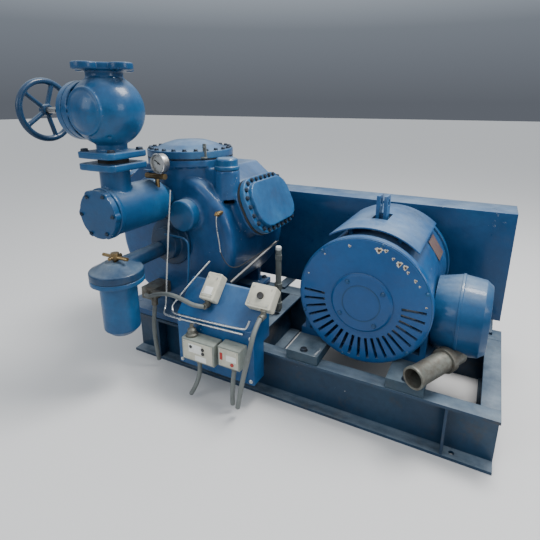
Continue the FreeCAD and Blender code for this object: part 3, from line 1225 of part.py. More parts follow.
os.makedirs("parts", exist_ok=True)
for item in SUBPARTS:
    if item.Shape.isNull() or not item.Shape.isValid():
        raise RuntimeError(f"{item.Label} has no valid shape")
    item.Shape.exportStep(f"parts/{item.Label}.step")
    print(item.Label, len(item.Shape.Solids), "solids", round(item.Shape.Volume / 1000), "cm3")
print(len(SUBPARTS), "sub-parts")
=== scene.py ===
import json
import math

import bmesh
import bpy
from mathutils import Matrix, Vector


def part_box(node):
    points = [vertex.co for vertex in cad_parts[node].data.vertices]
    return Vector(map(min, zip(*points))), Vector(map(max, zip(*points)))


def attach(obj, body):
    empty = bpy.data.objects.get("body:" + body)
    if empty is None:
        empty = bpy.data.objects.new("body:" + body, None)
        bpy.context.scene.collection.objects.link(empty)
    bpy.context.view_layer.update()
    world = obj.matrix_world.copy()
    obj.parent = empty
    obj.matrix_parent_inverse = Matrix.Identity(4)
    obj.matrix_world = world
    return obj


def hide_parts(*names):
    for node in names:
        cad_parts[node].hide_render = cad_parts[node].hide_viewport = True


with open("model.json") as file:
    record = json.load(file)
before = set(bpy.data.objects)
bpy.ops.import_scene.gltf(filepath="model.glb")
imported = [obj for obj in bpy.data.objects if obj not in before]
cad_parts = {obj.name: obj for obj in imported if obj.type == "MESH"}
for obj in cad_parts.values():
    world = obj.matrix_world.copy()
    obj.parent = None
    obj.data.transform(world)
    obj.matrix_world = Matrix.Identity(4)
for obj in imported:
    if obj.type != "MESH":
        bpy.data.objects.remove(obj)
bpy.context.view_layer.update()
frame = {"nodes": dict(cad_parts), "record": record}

# ---------------------------------------------------------------- materials


def new_material(name):
    material = bpy.data.materials.new(name)
    material.use_nodes = True
    tree = material.node_tree
    shader = tree.nodes["Principled BSDF"]
    return material, tree, shader


def node(tree, kind, **values):
    item = tree.nodes.new(kind)
    for key, setting in values.items():
        if key in item.inputs:
            item.inputs[key].default_value = setting
        else:
            setattr(item, key, setting)
    return item


def noise(tree, scale, detail=6.0, roughness=0.6):
    coords = node(tree, "ShaderNodeTexCoord")
    item = node(tree, "ShaderNodeTexNoise", Scale=scale, Detail=detail, Roughness=roughness)
    tree.links.new(coords.outputs["Object"], item.inputs["Vector"])
    return item.outputs["Fac"]


def ramp(tree, source, stops):
    item = node(tree, "ShaderNodeValToRGB")
    elements = item.color_ramp.elements
    while len(elements) < len(stops):
        elements.new(0.5)
    for element, (position, colour) in zip(elements, stops):
        element.position = position
        element.color = (*colour, 1.0)
    tree.links.new(source, item.inputs["Fac"])
    return item.outputs["Color"]


def grey(level):
    return (level, level, level)


def mix(tree, factor, first, second, blend="MIX"):
    item = node(tree, "ShaderNodeMix", data_type="RGBA", blend_type=blend)
    for socket, source in ((item.inputs["Factor"], factor), (item.inputs["A"], first),
                           (item.inputs["B"], second)):
        if isinstance(source, (int, float)):
            socket.default_value = source
        elif isinstance(source, tuple):
            socket.default_value = (*source, 1.0)
        else:
            tree.links.new(source, socket)
    return item.outputs["Result"]


def bump(tree, shader, height, strength, distance, onto=None):
    item = node(tree, "ShaderNodeBump", Strength=strength, Distance=distance)
    tree.links.new(height, item.inputs["Height"])
    if onto is not None:
        tree.links.new(onto, item.inputs["Normal"])
    tree.links.new(item.outputs["Normal"], shader.inputs["Normal"])
    return item.outputs["Normal"]


def paint(name, colour, dark, light, dirt=0.35, chips=0.25, rough=0.34, dirt_colour=(0.05, 0.04, 0.03),
          dusting_and_highlight=0.35):
    """Old brushed machine enamel: uneven colour, grime, upward faces paled by a dusting and a painted sky
    highlight, chips down to primer and metal.
    """
    material, tree, shader = new_material(name)
    broad = noise(tree, 3.5, 5)
    base = ramp(tree, broad, [(0.25, dark), (0.5, colour), (0.8, light)])
    fine = noise(tree, 38, 8, 0.7)
    base = mix(tree, ramp(tree, fine, [(0.42, grey(0)), (0.75, grey(0.5))]), base, dark)
    grime = noise(tree, 9, 9, 0.72)
    mask = ramp(tree, grime, [(0.55, grey(0)), (0.78, grey(dirt))])
    base = mix(tree, mask, base, dirt_colour)
    # Upward faces are paled toward blue-grey: partly a dusting, partly a painted sky highlight on top
    # faces.
    facing = node(tree, "ShaderNodeNewGeometry")
    upward = node(tree, "ShaderNodeSeparateXYZ")
    tree.links.new(facing.outputs["Normal"], upward.inputs[0])
    top_dusting_and_highlight_mask = ramp(tree, upward.outputs["Z"], [(0.62, grey(0)), (0.98, grey(dusting_and_highlight))])
    patchy = ramp(tree, noise(tree, 6, 8, 0.7), [(0.35, grey(0.25)), (0.65, grey(1))])
    top_dusting_and_highlight_mask = mix(tree, 1.0, top_dusting_and_highlight_mask, patchy, "MULTIPLY")
    base = mix(tree, top_dusting_and_highlight_mask, base, (0.36, 0.44, 0.50))
    scratch = noise(tree, 55, 6, 0.75)
    area = noise(tree, 5, 3, 0.5)
    joined = node(tree, "ShaderNodeMath", operation="MULTIPLY")
    tree.links.new(scratch, joined.inputs[0])
    tree.links.new(area, joined.inputs[1])
    chip = ramp(tree, joined.outputs[0], [(0.455 - 0.06 * chips, grey(0)), (0.465 - 0.06 * chips, grey(1))])
    base = mix(tree, chip, base, (0.48, 0.5, 0.48))
    tree.links.new(base, shader.inputs["Base Color"])
    level = ramp(tree, noise(tree, 14, 6), [(0.3, grey(rough - 0.08)), (0.7, grey(rough + 0.2))])
    tree.links.new(level, shader.inputs["Roughness"])
    shader.inputs["Specular IOR Level"].default_value = 0.25
    shader.inputs["Coat Weight"].default_value = 0.25
    shader.inputs["Coat Roughness"].default_value = 0.13
    skin = bump(tree, shader, noise(tree, 120, 4), 0.25, 0.0012)
    bump(tree, shader, noise(tree, 22, 3), 0.3, 0.004, skin)
    return material


def metal(name, colour, rough, metallic=1.0, stain=(0.2, 0.15, 0.1), amount=0.4, scale=30):
    material, tree, shader = new_material(name)
    patch = ramp(tree, noise(tree, scale, 7, 0.65), [(0.4, grey(0)), (0.72, grey(amount))])
    base = mix(tree, patch, colour, stain)
    tree.links.new(base, shader.inputs["Base Color"])
    shader.inputs["Metallic"].default_value = metallic
    level = ramp(tree, noise(tree, 60, 5), [(0.3, grey(max(rough - 0.1, 0.05))), (0.7, grey(rough + 0.15))])
    tree.links.new(level, shader.inputs["Roughness"])
    bump(tree, shader, noise(tree, 200, 4), 0.2, 0.0008)
    return material


def plastic(name, colour, rough, stain=None, amount=0.3):
    material, tree, shader = new_material(name)
    dark = stain or tuple(0.5 * channel for channel in colour)
    patch = ramp(tree, noise(tree, 25, 8, 0.7), [(0.45, grey(0)), (0.75, grey(amount))])
    base = mix(tree, patch, colour, dark)
    tree.links.new(base, shader.inputs["Base Color"])
    level = ramp(tree, noise(tree, 40, 5), [(0.3, grey(rough - 0.08)), (0.7, grey(rough + 0.12))])
    tree.links.new(level, shader.inputs["Roughness"])
    bump(tree, shader, noise(tree, 300, 3), 0.15, 0.0005)
    return material


BLUE = paint("blue_enamel", (0.004, 0.058, 0.155), (0.002, 0.034, 0.095), (0.010, 0.10, 0.23))
CONSOLE_PAINT = paint("console_enamel", (0.005, 0.070, 0.20), (0.003, 0.040, 0.12),
                      (0.012, 0.11, 0.27), dirt=0.25)
GUARD = paint("guard_enamel", (0.004, 0.052, 0.145), (0.002, 0.034, 0.10), (0.008, 0.08, 0.19), dirt=0.25,
              chips=0.1)
SKID = paint("skid_enamel", (0.007, 0.030, 0.066), (0.004, 0.016, 0.034), (0.018, 0.05, 0.09), dirt=0.8,
             chips=0.3, rough=0.42, dirt_colour=(0.05, 0.038, 0.025))
DARK = paint("dark_enamel", (0.006, 0.026, 0.06), (0.003, 0.012, 0.03), (0.012, 0.04, 0.08), dirt=0.7,
             rough=0.45)
BLACK = metal("black_bolt", (0.03, 0.035, 0.045), 0.45, 0.6, (0.02, 0.06, 0.12), 0.7)
STEEL = metal("bare_steel", (0.42, 0.42, 0.41), 0.35)
IRON = metal("cast_iron", (0.12, 0.12, 0.125), 0.55, 0.8)
BRASS = metal("old_brass", (0.32, 0.22, 0.10), 0.4, 0.9, (0.08, 0.06, 0.04), 0.8)
TUBE = metal("drawn_tube", (0.62, 0.63, 0.62), 0.28, 1.0, (0.25, 0.25, 0.25), 0.3)
RUST = metal("rusty_galvanised", (0.15, 0.155, 0.135), 0.5, 0.6, (0.07, 0.045, 0.03), 0.8)
RUBBER = plastic("belt_rubber", (0.02, 0.02, 0.02), 0.7)
CONDUIT = plastic("grey_conduit", (0.13, 0.145, 0.14), 0.5, (0.05, 0.05, 0.045), 0.5)
BEIGE = plastic("beige_box", (0.50, 0.49, 0.40), 0.45, (0.22, 0.2, 0.15), 0.5)
GREY = plastic("grey_box", (0.20, 0.225, 0.20), 0.45, (0.09, 0.09, 0.08), 0.5)
LABEL = plastic("plain_label", (0.72, 0.73, 0.70), 0.4, (0.4, 0.38, 0.33), 0.4)
KNOB = plastic("black_plastic", (0.02, 0.02, 0.02), 0.4)
RED = plastic("red_plastic", (0.35, 0.02, 0.015), 0.3)
RAIL = paint("rail_enamel", (0.012, 0.036, 0.062), (0.005, 0.014, 0.024), (0.05, 0.085, 0.11), dirt=0.6,
             chips=0.8, rough=0.42)
MOTOR_PAINT = paint("motor_enamel", (0.010, 0.068, 0.19), (0.006, 0.04, 0.12), (0.02, 0.11, 0.27))
BELL = paint("bell_enamel", (0.003, 0.066, 0.205), (0.002, 0.046, 0.15), (0.008, 0.092, 0.26), dirt=0.2)
COVER_PAINT = paint("drip_cover_enamel", (0.012, 0.075, 0.20), (0.007, 0.045, 0.13), (0.03, 0.12, 0.27))
CASE_PAINT = paint("case_enamel", (0.008, 0.058, 0.165), (0.004, 0.032, 0.095), (0.02, 0.10, 0.24))
COVER_TOP = paint("top_cover_enamel", (0.012, 0.07, 0.18), (0.005, 0.035, 0.10), (0.05, 0.15, 0.28))
DARK_BLUE = paint("shaded_enamel", (0.006, 0.034, 0.085), (0.003, 0.016, 0.042), (0.014, 0.06, 0.13),
                  dirt=0.5)
HEAD_PAINT = paint("head_enamel", (0.014, 0.085, 0.21), (0.006, 0.045, 0.12), (0.04, 0.14, 0.27))
CHIP = metal("chipped_primer", (0.62, 0.58, 0.48), 0.6, 0.0, (0.30, 0.24, 0.16), 0.7, 90)
CHIP_RUST = metal("rusty_chip", (0.10, 0.05, 0.03), 0.7, 0.2, (0.03, 0.02, 0.02), 0.7, 90)
WORN_PLATE = metal("worn_plate", (0.14, 0.10, 0.08), 0.5, 0.3, (0.10, 0.05, 0.08), 0.9, 45)
DIAL = plastic("dial_face", (0.78, 0.77, 0.72), 0.5, (0.5, 0.46, 0.36), 0.4)

# ---------------------------------------------------------------- building helpers

MM = 0.001
FRONT = (0, -1, 0)


def point(x, y, z):
    """A point given in millimetres, in metres."""
    return Vector((x, y, z)) * MM


def add_piece(name, mesh, material, body="skid", replaces=(), slot=None, smooth=32):
    """Adds a finished mesh as a piece that rides on a body."""
    mesh.materials.clear()
    mesh.materials.append(material)
    if smooth:
        for polygon in mesh.polygons:
            polygon.use_smooth = True
        mesh.set_sharp_from_angle(angle=math.radians(smooth))
    item = bpy.data.objects.new(name, mesh)
    bpy.context.scene.collection.objects.link(item)
    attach(item, body)
    if replaces:
        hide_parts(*replaces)
    return item


def from_bmesh(name, shape, material, **facts):
    mesh = bpy.data.meshes.new(name)
    bmesh.ops.recalc_face_normals(shape, faces=shape.faces)
    shape.to_mesh(mesh)
    shape.free()
    return add_piece(name, mesh, material, **facts)


def with_modifiers(mesh, *steps):
    """The mesh after some modifiers, each a type and its settings."""
    item = bpy.data.objects.new("working", mesh)
    bpy.context.scene.collection.objects.link(item)
    for kind, settings in steps:
        modifier = item.modifiers.new(kind, kind)
        for key, setting in settings.items():
            setattr(modifier, key, setting)
    result = bpy.data.meshes.new_from_object(item.evaluated_get(bpy.context.evaluated_depsgraph_get()))
    bpy.data.objects.remove(item)
    return result


def cad_mesh(name):
    """A copy of a CAD node's mesh with its doubled corners joined."""
    source = frame["nodes"][name]
    shape = bmesh.new()
    shape.from_mesh(source.data)
    shape.transform(source.matrix_world)
    bmesh.ops.remove_doubles(shape, verts=shape.verts, dist=2e-5)
    mesh = bpy.data.meshes.new(name)
    shape.to_mesh(mesh)
    shape.free()
    return mesh


def body_of(name):
    for body, nodes in frame["record"]["behaviour"]["bodies"].items():
        if name in nodes:
            return body
    raise KeyError(name)


def slot_of(name):
    for entry in frame["record"]["subparts"]:
        if entry["node"] == name:
            return entry["material_slot"]
    raise KeyError(name)


def casting(name, material, voxel=0.004, passes=8, keep=0.5):
    """A rough casting: the CAD solid with every corner melted into a fillet."""
    mesh = with_modifiers(
        cad_mesh(name),
        ("REMESH", {"mode": "VOXEL", "voxel_size": voxel, "use_smooth_shade": True}),
        ("SMOOTH", {"factor": 0.5, "iterations": passes}),
        ("DECIMATE", {"ratio": keep}))
    return add_piece(name + "_casting", mesh, material, body_of(name), [name], slot_of(name), 60)


def machined(name, material, width=0.0015, segments=2):
    """A made piece: the CAD solid with its sharp edges broken by a small bevel."""
    mesh = cad_mesh(name)
    shape = bmesh.new()
    shape.from_mesh(mesh)
    bmesh.ops.dissolve_limit(shape, angle_limit=math.radians(1.5), verts=shape.verts, edges=shape.edges)
    shape.to_mesh(mesh)
    shape.free()
    mesh = with_modifiers(
        mesh,
        ("BEVEL", {"width": width, "segments": segments, "limit_method": "ANGLE",
                   "angle_limit": math.radians(30), "use_clamp_overlap": True,
                   "harden_normals": False}),
        ("TRIANGULATE", {}))
    return add_piece(name + "_finished", mesh, material, body_of(name), [name], slot_of(name), 40)


def repaint(name, material):
    """A CAD node that stays, in a better material."""
    item = frame["nodes"][name]
    for entry in item.material_slots:
        entry.material = material


def turn_to(axis):
    """A rotation that takes +Z to an axis."""
    return Vector((0, 0, 1)).rotation_difference(Vector(axis)).to_matrix().to_4x4()


def lathe(shape, profile, origin, axis, segments=64):
    """Turns (radius, height) corners right round an axis; equal corners are joined afterwards."""
    frame_of = Matrix.Translation(origin) @ turn_to(axis)
    rings = []
    for index in range(segments):
        angle = math.radians(360 * index / segments)
        rings.append([shape.verts.new(frame_of @ Vector((r * math.cos(angle), r * math.sin(angle), h)))
                      for r, h in profile])
    for index in range(segments):
        here = rings[index]
        following = rings[(index + 1) % segments]
        for low in range(len(profile) - 1):
            shape.faces.new((here[low], following[low], following[low + 1], here[low + 1]))
    bmesh.ops.remove_doubles(shape, verts=shape.verts, dist=1e-6)


def box(shape, centre, size, turn=None, bevel=0.0):
    """A box with softened edges, added to the shape."""
    place = Matrix.Translation(centre)
    if turn is not None:
        place = place @ turn
    made = bmesh.ops.create_cube(shape, size=1.0, matrix=place @ Matrix.Diagonal((*size, 1.0)))
    if bevel:
        edges = list(dict.fromkeys(edge for vert in made["verts"] for edge in vert.link_edges))
        bmesh.ops.bevel(shape, geom=edges, offset=bevel, segments=2, profile=0.5,
                        affect="EDGES")


def hex_bolt(shape, seat, axis, radius, height, washer=True):
    """A hexagon head with a chamfered crown on a round washer, standing on its seat."""
    frame_of = Matrix.Translation(seat) @ turn_to(axis)
    rows = [(radius, 0.002), (radius, height * 0.82), (radius * 0.86, height)]
    loops = []
    for r, h in rows:
        loops.append([shape.verts.new(frame_of @ Vector((r * math.cos(math.radians(60 * k)),
                                                         r * math.sin(math.radians(60 * k)), h)))
                      for k in range(6)])
    for low, high in zip(loops, loops[1:]):
        for k in range(6):
            shape.faces.new((low[k], low[(k + 1) % 6], high[(k + 1) % 6], high[k]))
    shape.faces.new(loops[-1])
    shape.faces.new(loops[0][::-1])
    if washer:
        size = radius * 1.16
        lathe(shape, [(0, 0), (size, 0), (size, 0.0018), (size - 0.0008, 0.0025), (0, 0.0025)],
              Vector(seat), axis, 20)


def rod_mesh(shape, start, end, radius, segments=24, bevel=0.0):
    """A round bar between two points."""
    start = Vector(start)
    along = Vector(end) - start
    length = along.length
    soft = min(bevel, radius * 0.9)
    if soft:
        profile = [(0, 0), (radius - soft, 0), (radius, soft), (radius, length - soft),
                   (radius - soft, length), (0, length)]
    else:
        profile = [(0, 0), (radius, 0), (radius, length), (0, length)]
    lathe(shape, profile, start, along.normalized(), segments)


def smooth_line(name, points, radius, material, body="skid", replaces=(), resolution=6):
    """A round tube along a smooth curve whose control points are given in millimetres."""
    curve = bpy.data.curves.new(name, "CURVE")
    curve.dimensions = "3D"
    spline = curve.splines.new("NURBS")
    spline.points.add(len(points) - 1)
    for control, place in zip(spline.points, points):
        control.co = (*point(*place), 1.0)
    spline.order_u = 3
    spline.use_endpoint_u = True
    spline.resolution_u = resolution
    curve.bevel_depth = radius
    curve.bevel_resolution = 5
    curve.use_fill_caps = True
    curve.materials.append(material)
    item = bpy.data.objects.new(name, curve)
    bpy.context.scene.collection.objects.link(item)
    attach(item, body)
    if replaces:
        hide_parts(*replaces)
    return item

# ---------------------------------------------------------------- skid and motor mountings

for name in ("front_beam", "rear_beam"):
    machined(name, SKID, 0.002)
machined("cross_members", DARK, 0.002)
machined("motor_rails", RAIL, 0.003)

# ---------------------------------------------------------------- motor

MOTOR = point(284, -165, 450)
machined("motor_frame", MOTOR_PAINT, 0.003)
machined("front_bell", BELL, 0.0025, 3)
machined("rear_bell", BLUE, 0.0025)
machined("drip_cover", COVER_PAINT, 0.0015)
machined("terminal_box", BLUE, 0.004, 3)
machined("terminal_cover", BLUE, 0.006, 3)

BELL_FACE = -0.2
CAP_FACE = -0.212


def on_bell(degrees, reach, face):
    """A point on the motor's front, at an angle and distance from the shaft."""
    angle = math.radians(degrees)
    return Vector((MOTOR.x + reach * math.cos(angle), face, MOTOR.z + reach * math.sin(angle)))


trim = bmesh.new()
for degrees in (20, 75, 132, 200, 255, 318):
    hex_bolt(trim, on_bell(degrees, 0.232, BELL_FACE), FRONT, 0.006, 0.005)
for degrees in (35, 125, 215, 305):
    hex_bolt(trim, on_bell(degrees, 0.092, CAP_FACE), FRONT, 0.0075, 0.006)
from_bmesh("bell_screws", trim, BLUE)


def flake(shape, centre, out, radius, height, phase):
    """A ragged flat fleck standing a height out from a painted face; the phase varies its outline."""
    frame_of = Matrix.Translation(centre) @ turn_to(out) @ Matrix.Rotation(0.3 * phase, 4, "Z")
    rim = []
    for index in range(28):
        angle = 2 * math.pi * index / 28
        reach = radius * (0.78 + 0.16 * math.sin(3 * angle + phase) + 0.10 * math.sin(7 * angle + 2 * phase)
                          + 0.06 * math.sin(13 * angle + 3 * phase))
        corner = Vector((reach * math.cos(angle), 0.8 * reach * math.sin(angle), height))
        rim.append(shape.verts.new(frame_of @ corner))
    shape.faces.new(rim)


# angle round the bell, distance from its axis and size, in degrees and millimetres
CHIPS = ((77, 212, 16), (71, 220, 9), (62, 208, 7), (55, 206, 14), (49, 212, 12), (44, 207, 7),
         (34, 212, 8), (28, 216, 5), (105, 213, 7), (132, 216, 4), (160, 219, 4), (8, 221, 5))
primer = bmesh.new()
rust = bmesh.new()
for index, (degrees, reach, size) in enumerate(CHIPS):
    place = on_bell(degrees, reach * MM, BELL_FACE)
    flake(primer, place, FRONT, size * MM, 0.0003, index)
    flake(rust, place + Vector((0.001, 0, -0.001)), FRONT, 0.5 * size * MM, 0.0005, index + 2)
# specks on the front of the terminal box, by angle round it, metres along it and size in millimetres
TERMINAL_BOX = Vector((0.63, -0.01, 0.392))
for index, (degrees, along, size) in enumerate(((-80, 0.0, 5), (-72, 0.012, 3), (-90, -0.010, 4))):
    angle = math.radians(degrees)
    place = TERMINAL_BOX + Vector((along, 0.124 * math.sin(angle), 0.124 * math.cos(angle)))
    flake(primer, place, FRONT, size * MM, 0.007, index + 4)
from_bmesh("bared_primer", primer, CHIP)
from_bmesh("rust_spots", rust, CHIP_RUST)

ridge = bmesh.new()
lathe(ridge, [(0.066, 0.0), (0.066, 0.0015), (0.068, 0.002), (0.070, 0.0015), (0.070, 0.0)],
      Vector((MOTOR.x, CAP_FACE, MOTOR.z)), FRONT, 72)
lathe(ridge, [(0.236, 0.0), (0.236, 0.002), (0.238, 0.003), (0.240, 0.002), (0.240, 0.0)],
      Vector((MOTOR.x, -0.1955, MOTOR.z)), FRONT, 96)
from_bmesh("bell_ridges", ridge, BLUE)

PLATE_DEGREES = 34
plate = bmesh.new()
angle = math.radians(PLATE_DEGREES)
lift = Vector((math.cos(angle), 0, math.sin(angle)))
turn = Matrix.Rotation(math.radians(90 - PLATE_DEGREES), 4, "Y")
box(plate, Vector((MOTOR.x, 0.16, MOTOR.z)) + lift * 0.2338, (0.085, 0.12, 0.0016), turn, 0.0006)
from_bmesh("name_plate_blank", plate, WORN_PLATE)

seam = bmesh.new()
low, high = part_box("terminal_cover")
centre = Vector((low[0], 0.5 * (low[1] + high[1]), 0.5 * (low[2] + high[2])))
for degrees in (-115, -65, 0, 65, 115, 180):
    angle = math.radians(degrees)
    seat = centre + Vector((0.094, 0.112 * math.sin(angle), 0.112 * math.cos(angle)))
    hex_bolt(seam, seat, (1, 0, 0), 0.006, 0.006)
from_bmesh("terminal_screws", seam, BLUE)

# ---------------------------------------------------------------- compressor

casting("crankcase", CASE_PAINT, 0.0045, 10, 0.45)
casting("top_cover", COVER_TOP, 0.003, 5, 0.5)
machined("side_cover", BLUE, 0.003, 3)
machined("filler_cap", BLUE, 0.003, 3)
casting("oil_pump_cover", DARK_BLUE, 0.003, 5, 0.6)
machined("shaft_seal_housing", BLUE, 0.002)
casting("right_head", HEAD_PAINT, 0.0028, 6, 0.6)
casting("left_head", BLUE, 0.0028, 6, 0.6)

# ---------------------------------------------------------------- strainer, valve and filter

casting("strainer_body", BLUE, 0.003, 8, 0.5)
casting("strainer_cover", BLUE, 0.0025, 3, 0.5)
casting("valve_body", BLUE, 0.003, 9, 0.5)
casting("valve_bonnet", BLUE, 0.0025, 5, 0.6)
casting("handwheel", DARK_BLUE, 0.002, 5, 0.7)
casting("filter_bowl", BLUE, 0.003, 6, 0.5)
casting("filter_head", DARK_BLUE, 0.003, 8, 0.5)

# ---------------------------------------------------------------- belt guard, drive and inner pieces

machined("belt_guard", GUARD, 0.004, 3)
for name in ("stator", "rotor", "crankshaft", "bearings", "cylinder_liners", "valve_stem"):
    repaint(name, STEEL)
for name in ("flywheel", "motor_sheave", "right_front_piston", "right_rear_piston",
             "left_front_piston", "left_rear_piston"):
    repaint(name, IRON)
for name in ("v_belts", "gaskets"):
    repaint(name, RUBBER)
machined("filter_spindle", BRASS, 0.002)
machined("brass_fittings", BRASS, 0.0015)
machined("needle_valve_handle", CONSOLE_PAINT, 0.0015)
machined("pressure_gauge", STEEL, 0.0012)
machined("gauge_needle", KNOB, 0.0002)

# ---------------------------------------------------------------- bolts


def islands(mesh):
    """The separate solids of a mesh, each a list of points."""
    shape = bmesh.new()
    shape.from_mesh(mesh)
    found = []
    seen = set()
    for vert in shape.verts:
        if vert.index in seen:
            continue
        stack = [vert]
        seen.add(vert.index)
        points = []
        while stack:
            here = stack.pop()
            points.append(here.co.copy())
            for edge in here.link_edges:
                other = edge.other_vert(here)
                if other.index not in seen:
                    seen.add(other.index)
                    stack.append(other)
        found.append(points)
    shape.free()
    return found


def bolt_axis(points):
    """The middle of a bolt's points and the line they spread furthest along, pointing either way."""
    middle = sum(points, Vector()) / len(points)
    spread = Matrix(((0, 0, 0), (0, 0, 0), (0, 0, 0)))
    for place in points:
        arm = place - middle
        for row in range(3):
            for column in range(3):
                spread[row][column] += arm[row] * arm[column]
    axis = Vector((0.3, 0.5, 0.8))
    for _ in range(60):
        axis = (spread @ axis).normalized()
    return middle, axis


def bolts():
    """Every plain CAD bolt, shown as a hexagon head on its washer."""
    shape = bmesh.new()
    for points in islands(cad_mesh("bolts")):
        middle, axis = bolt_axis(points)
        along = sorted((place - middle).dot(axis) for place in points)
        reach = [max(((place - middle) - axis * (place - middle).dot(axis)).length
                     for place in points if abs((place - middle).dot(axis) - end) < 1e-4)
                 for end in (along[0], along[-1])]
        if reach[0] > reach[1]:
            axis = -axis
            along = [-along[-1], -along[0]]
        radius = max(reach)
        crown = middle + axis * along[-1]
        height = 0.009 if radius < 0.011 else 0.010
        hex_bolt(shape, crown - axis * height, axis, radius * 0.98, height)
    return from_bmesh("hexagon_bolts", shape, BLACK, replaces=["bolts"], slot=slot_of("bolts"), smooth=25)


bolts()

fittings = bmesh.new()
hex_bolt(fittings, point(-322, -205, 705), FRONT, 0.011, 0.012, False)
lathe(fittings, [(0, 0), (0.006, 0), (0.006, 0.018), (0.0045, 0.02), (0, 0.02)],
      point(-322, -205, 705), FRONT, 24)
from_bmesh("case_fitting", fittings, BRASS)
smooth_line("case_capillary", [(-322, -214, 704), (-322, -220, 690), (-318, -222, 640), (-306, -226, 590),
                               (-300, -228, 552)], 0.0025, TUBE)
pin = bmesh.new()
box(pin, point(-416, -149, 948), (0.018, 0.006, 0.056), None, 0.002)
box(pin, point(-416, -156, 920), (0.026, 0.018, 0.006), None, 0.0015)
hex_bolt(pin, point(-416, -152, 962), FRONT, 0.006, 0.005, False)
from_bmesh("cover_bracket", pin, CONDUIT)

# ---------------------------------------------------------------- console and switches

machined("console", CONSOLE_PAINT, 0.003, 3)

SLOPE = math.radians(46.8)
SLOPE_TURN = Matrix.Rotation(SLOPE, 4, "X")
FOLD = point(0, -380, 320)


def on_slope(x, up, out):
    """A point on the console's slope, in millimetres along X, up it and out from it."""
    return FOLD + SLOPE_TURN @ point(x, up, out)


def out_of_slope():
    return SLOPE_TURN @ Vector((0, 0, 1))


machined("oil_pressure_switch", BEIGE, 0.005, 4)
machined("cutout_switch", BEIGE, 0.005, 4)
machined("dual_pressure_switch", GREY, 0.004, 3)
machined("time_delay_switch", GREY, 0.004, 3)
machined("switch_knob", KNOB, 0.0012, 3)
machined("reset_button", RED, 0.0015, 3)
machined("conduit_fittings", RUST, 0.0015, 2)

detail = bmesh.new()
box(detail, on_slope(-283, 128, 51.2), (0.052, 0.088, 0.003), SLOPE_TURN, 0.0012)
box(detail, on_slope(-60, 134, 49.0), (0.088, 0.076, 0.0022), SLOPE_TURN, 0.0009)
box(detail, point(-276, -440.6, 214), (0.138, 0.0026, 0.080), None, 0.001)
box(detail, point(-136, -436.6, 226), (0.084, 0.0026, 0.072), None, 0.001)
from_bmesh("switch_lids", detail, BEIGE)

labels = bmesh.new()
box(labels, on_slope(-283, 108, 53.0), (0.036, 0.030, 0.0008), SLOPE_TURN, 0.0002)
box(labels, point(-262, -442.3, 188), (0.052, 0.001, 0.022), None, 0.0002)
box(labels, point(-286, -442.3, 226), (0.062, 0.001, 0.036), None, 0.0002)
box(labels, point(-124, -438.3, 228), (0.044, 0.001, 0.024), None, 0.0002)
from_bmesh("blank_labels", labels, LABEL)

marks = bmesh.new()
box(marks, point(-168, -438.6, 230), (0.012, 0.002, 0.030), None, 0.0006)
from_bmesh("red_indicator", marks, RED)

windows = bmesh.new()
for x, z in ((-250, 232), (-250, 214), (-306, 232)):
    lathe(windows, [(0, 0), (0.007, 0), (0.007, 0.002), (0.005, 0.003), (0, 0.003)],
          point(x, -442, z), FRONT, 24)
from_bmesh("switch_windows", windows, KNOB)

screws = bmesh.new()
for x, up in ((-304, 162), (-262, 162), (-304, 92), (-262, 92)):
    hex_bolt(screws, on_slope(x, up, 52.6), out_of_slope(), 0.0035, 0.003, False)
for x, up in ((-98, 166), (-22, 166), (-98, 102), (-22, 102)):
    hex_bolt(screws, on_slope(x, up, 50.0), out_of_slope(), 0.0032, 0.003, False)
for x, z in ((-338, 248), (-214, 248), (-338, 180), (-214, 180)):
    hex_bolt(screws, point(x, -441.8, z), FRONT, 0.0035, 0.003, False)
for x, z in ((-172, 256), (-100, 256), (-172, 196), (-100, 196)):
    hex_bolt(screws, point(x, -437.8, z), FRONT, 0.003, 0.003, False)
for x, z in ((-404, 296), (-404, 112), (-74, 296), (-74, 112)):
    hex_bolt(screws, point(x, -380, z), FRONT, 0.007, 0.005)
from_bmesh("case_screws", screws, TUBE)

# ---------------------------------------------------------------- gauge

GAUGE = point(-520, -300, 908)
GAUGE_OUT = Vector((-math.sin(math.radians(6)), -math.cos(math.radians(6)), 0))
GAUGE_SIDE = Vector((math.cos(math.radians(6)), -math.sin(math.radians(6)), 0))


def dial_point(turn, radius, out):
    angle = math.radians(turn)
    return (GAUGE + GAUGE_SIDE * radius * math.sin(angle) + Vector((0, 0, radius * math.cos(angle)))
            + GAUGE_OUT * out)


face = bmesh.new()
lathe(face, [(0, 0), (0.0335, 0), (0.0335, 0.0004), (0, 0.0004)], GAUGE + GAUGE_OUT * 0.0071, GAUGE_OUT, 64)
from_bmesh("dial", face, DIAL)
ticks = bmesh.new()
for index in range(41):
    turn = -135 + 270 * index / 40
    long_tick = index % 5 == 0
    start = dial_point(turn, 0.031, 0.0076)
    end = dial_point(turn, 0.0245 if long_tick else 0.0275, 0.0076)
    rod_mesh(ticks, start, end, 0.0006 if long_tick else 0.0003, 6)
from_bmesh("dial_marks", ticks, KNOB)
bezel = bmesh.new()
lathe(bezel, [(0.0338, 0.0145), (0.0395, 0.0145), (0.0398, 0.0165), (0.038, 0.0185), (0.035, 0.018),
              (0.0338, 0.0145)], GAUGE, GAUGE_OUT, 72)
from_bmesh("gauge_bezel", bezel, TUBE)

# ---------------------------------------------------------------- pipework

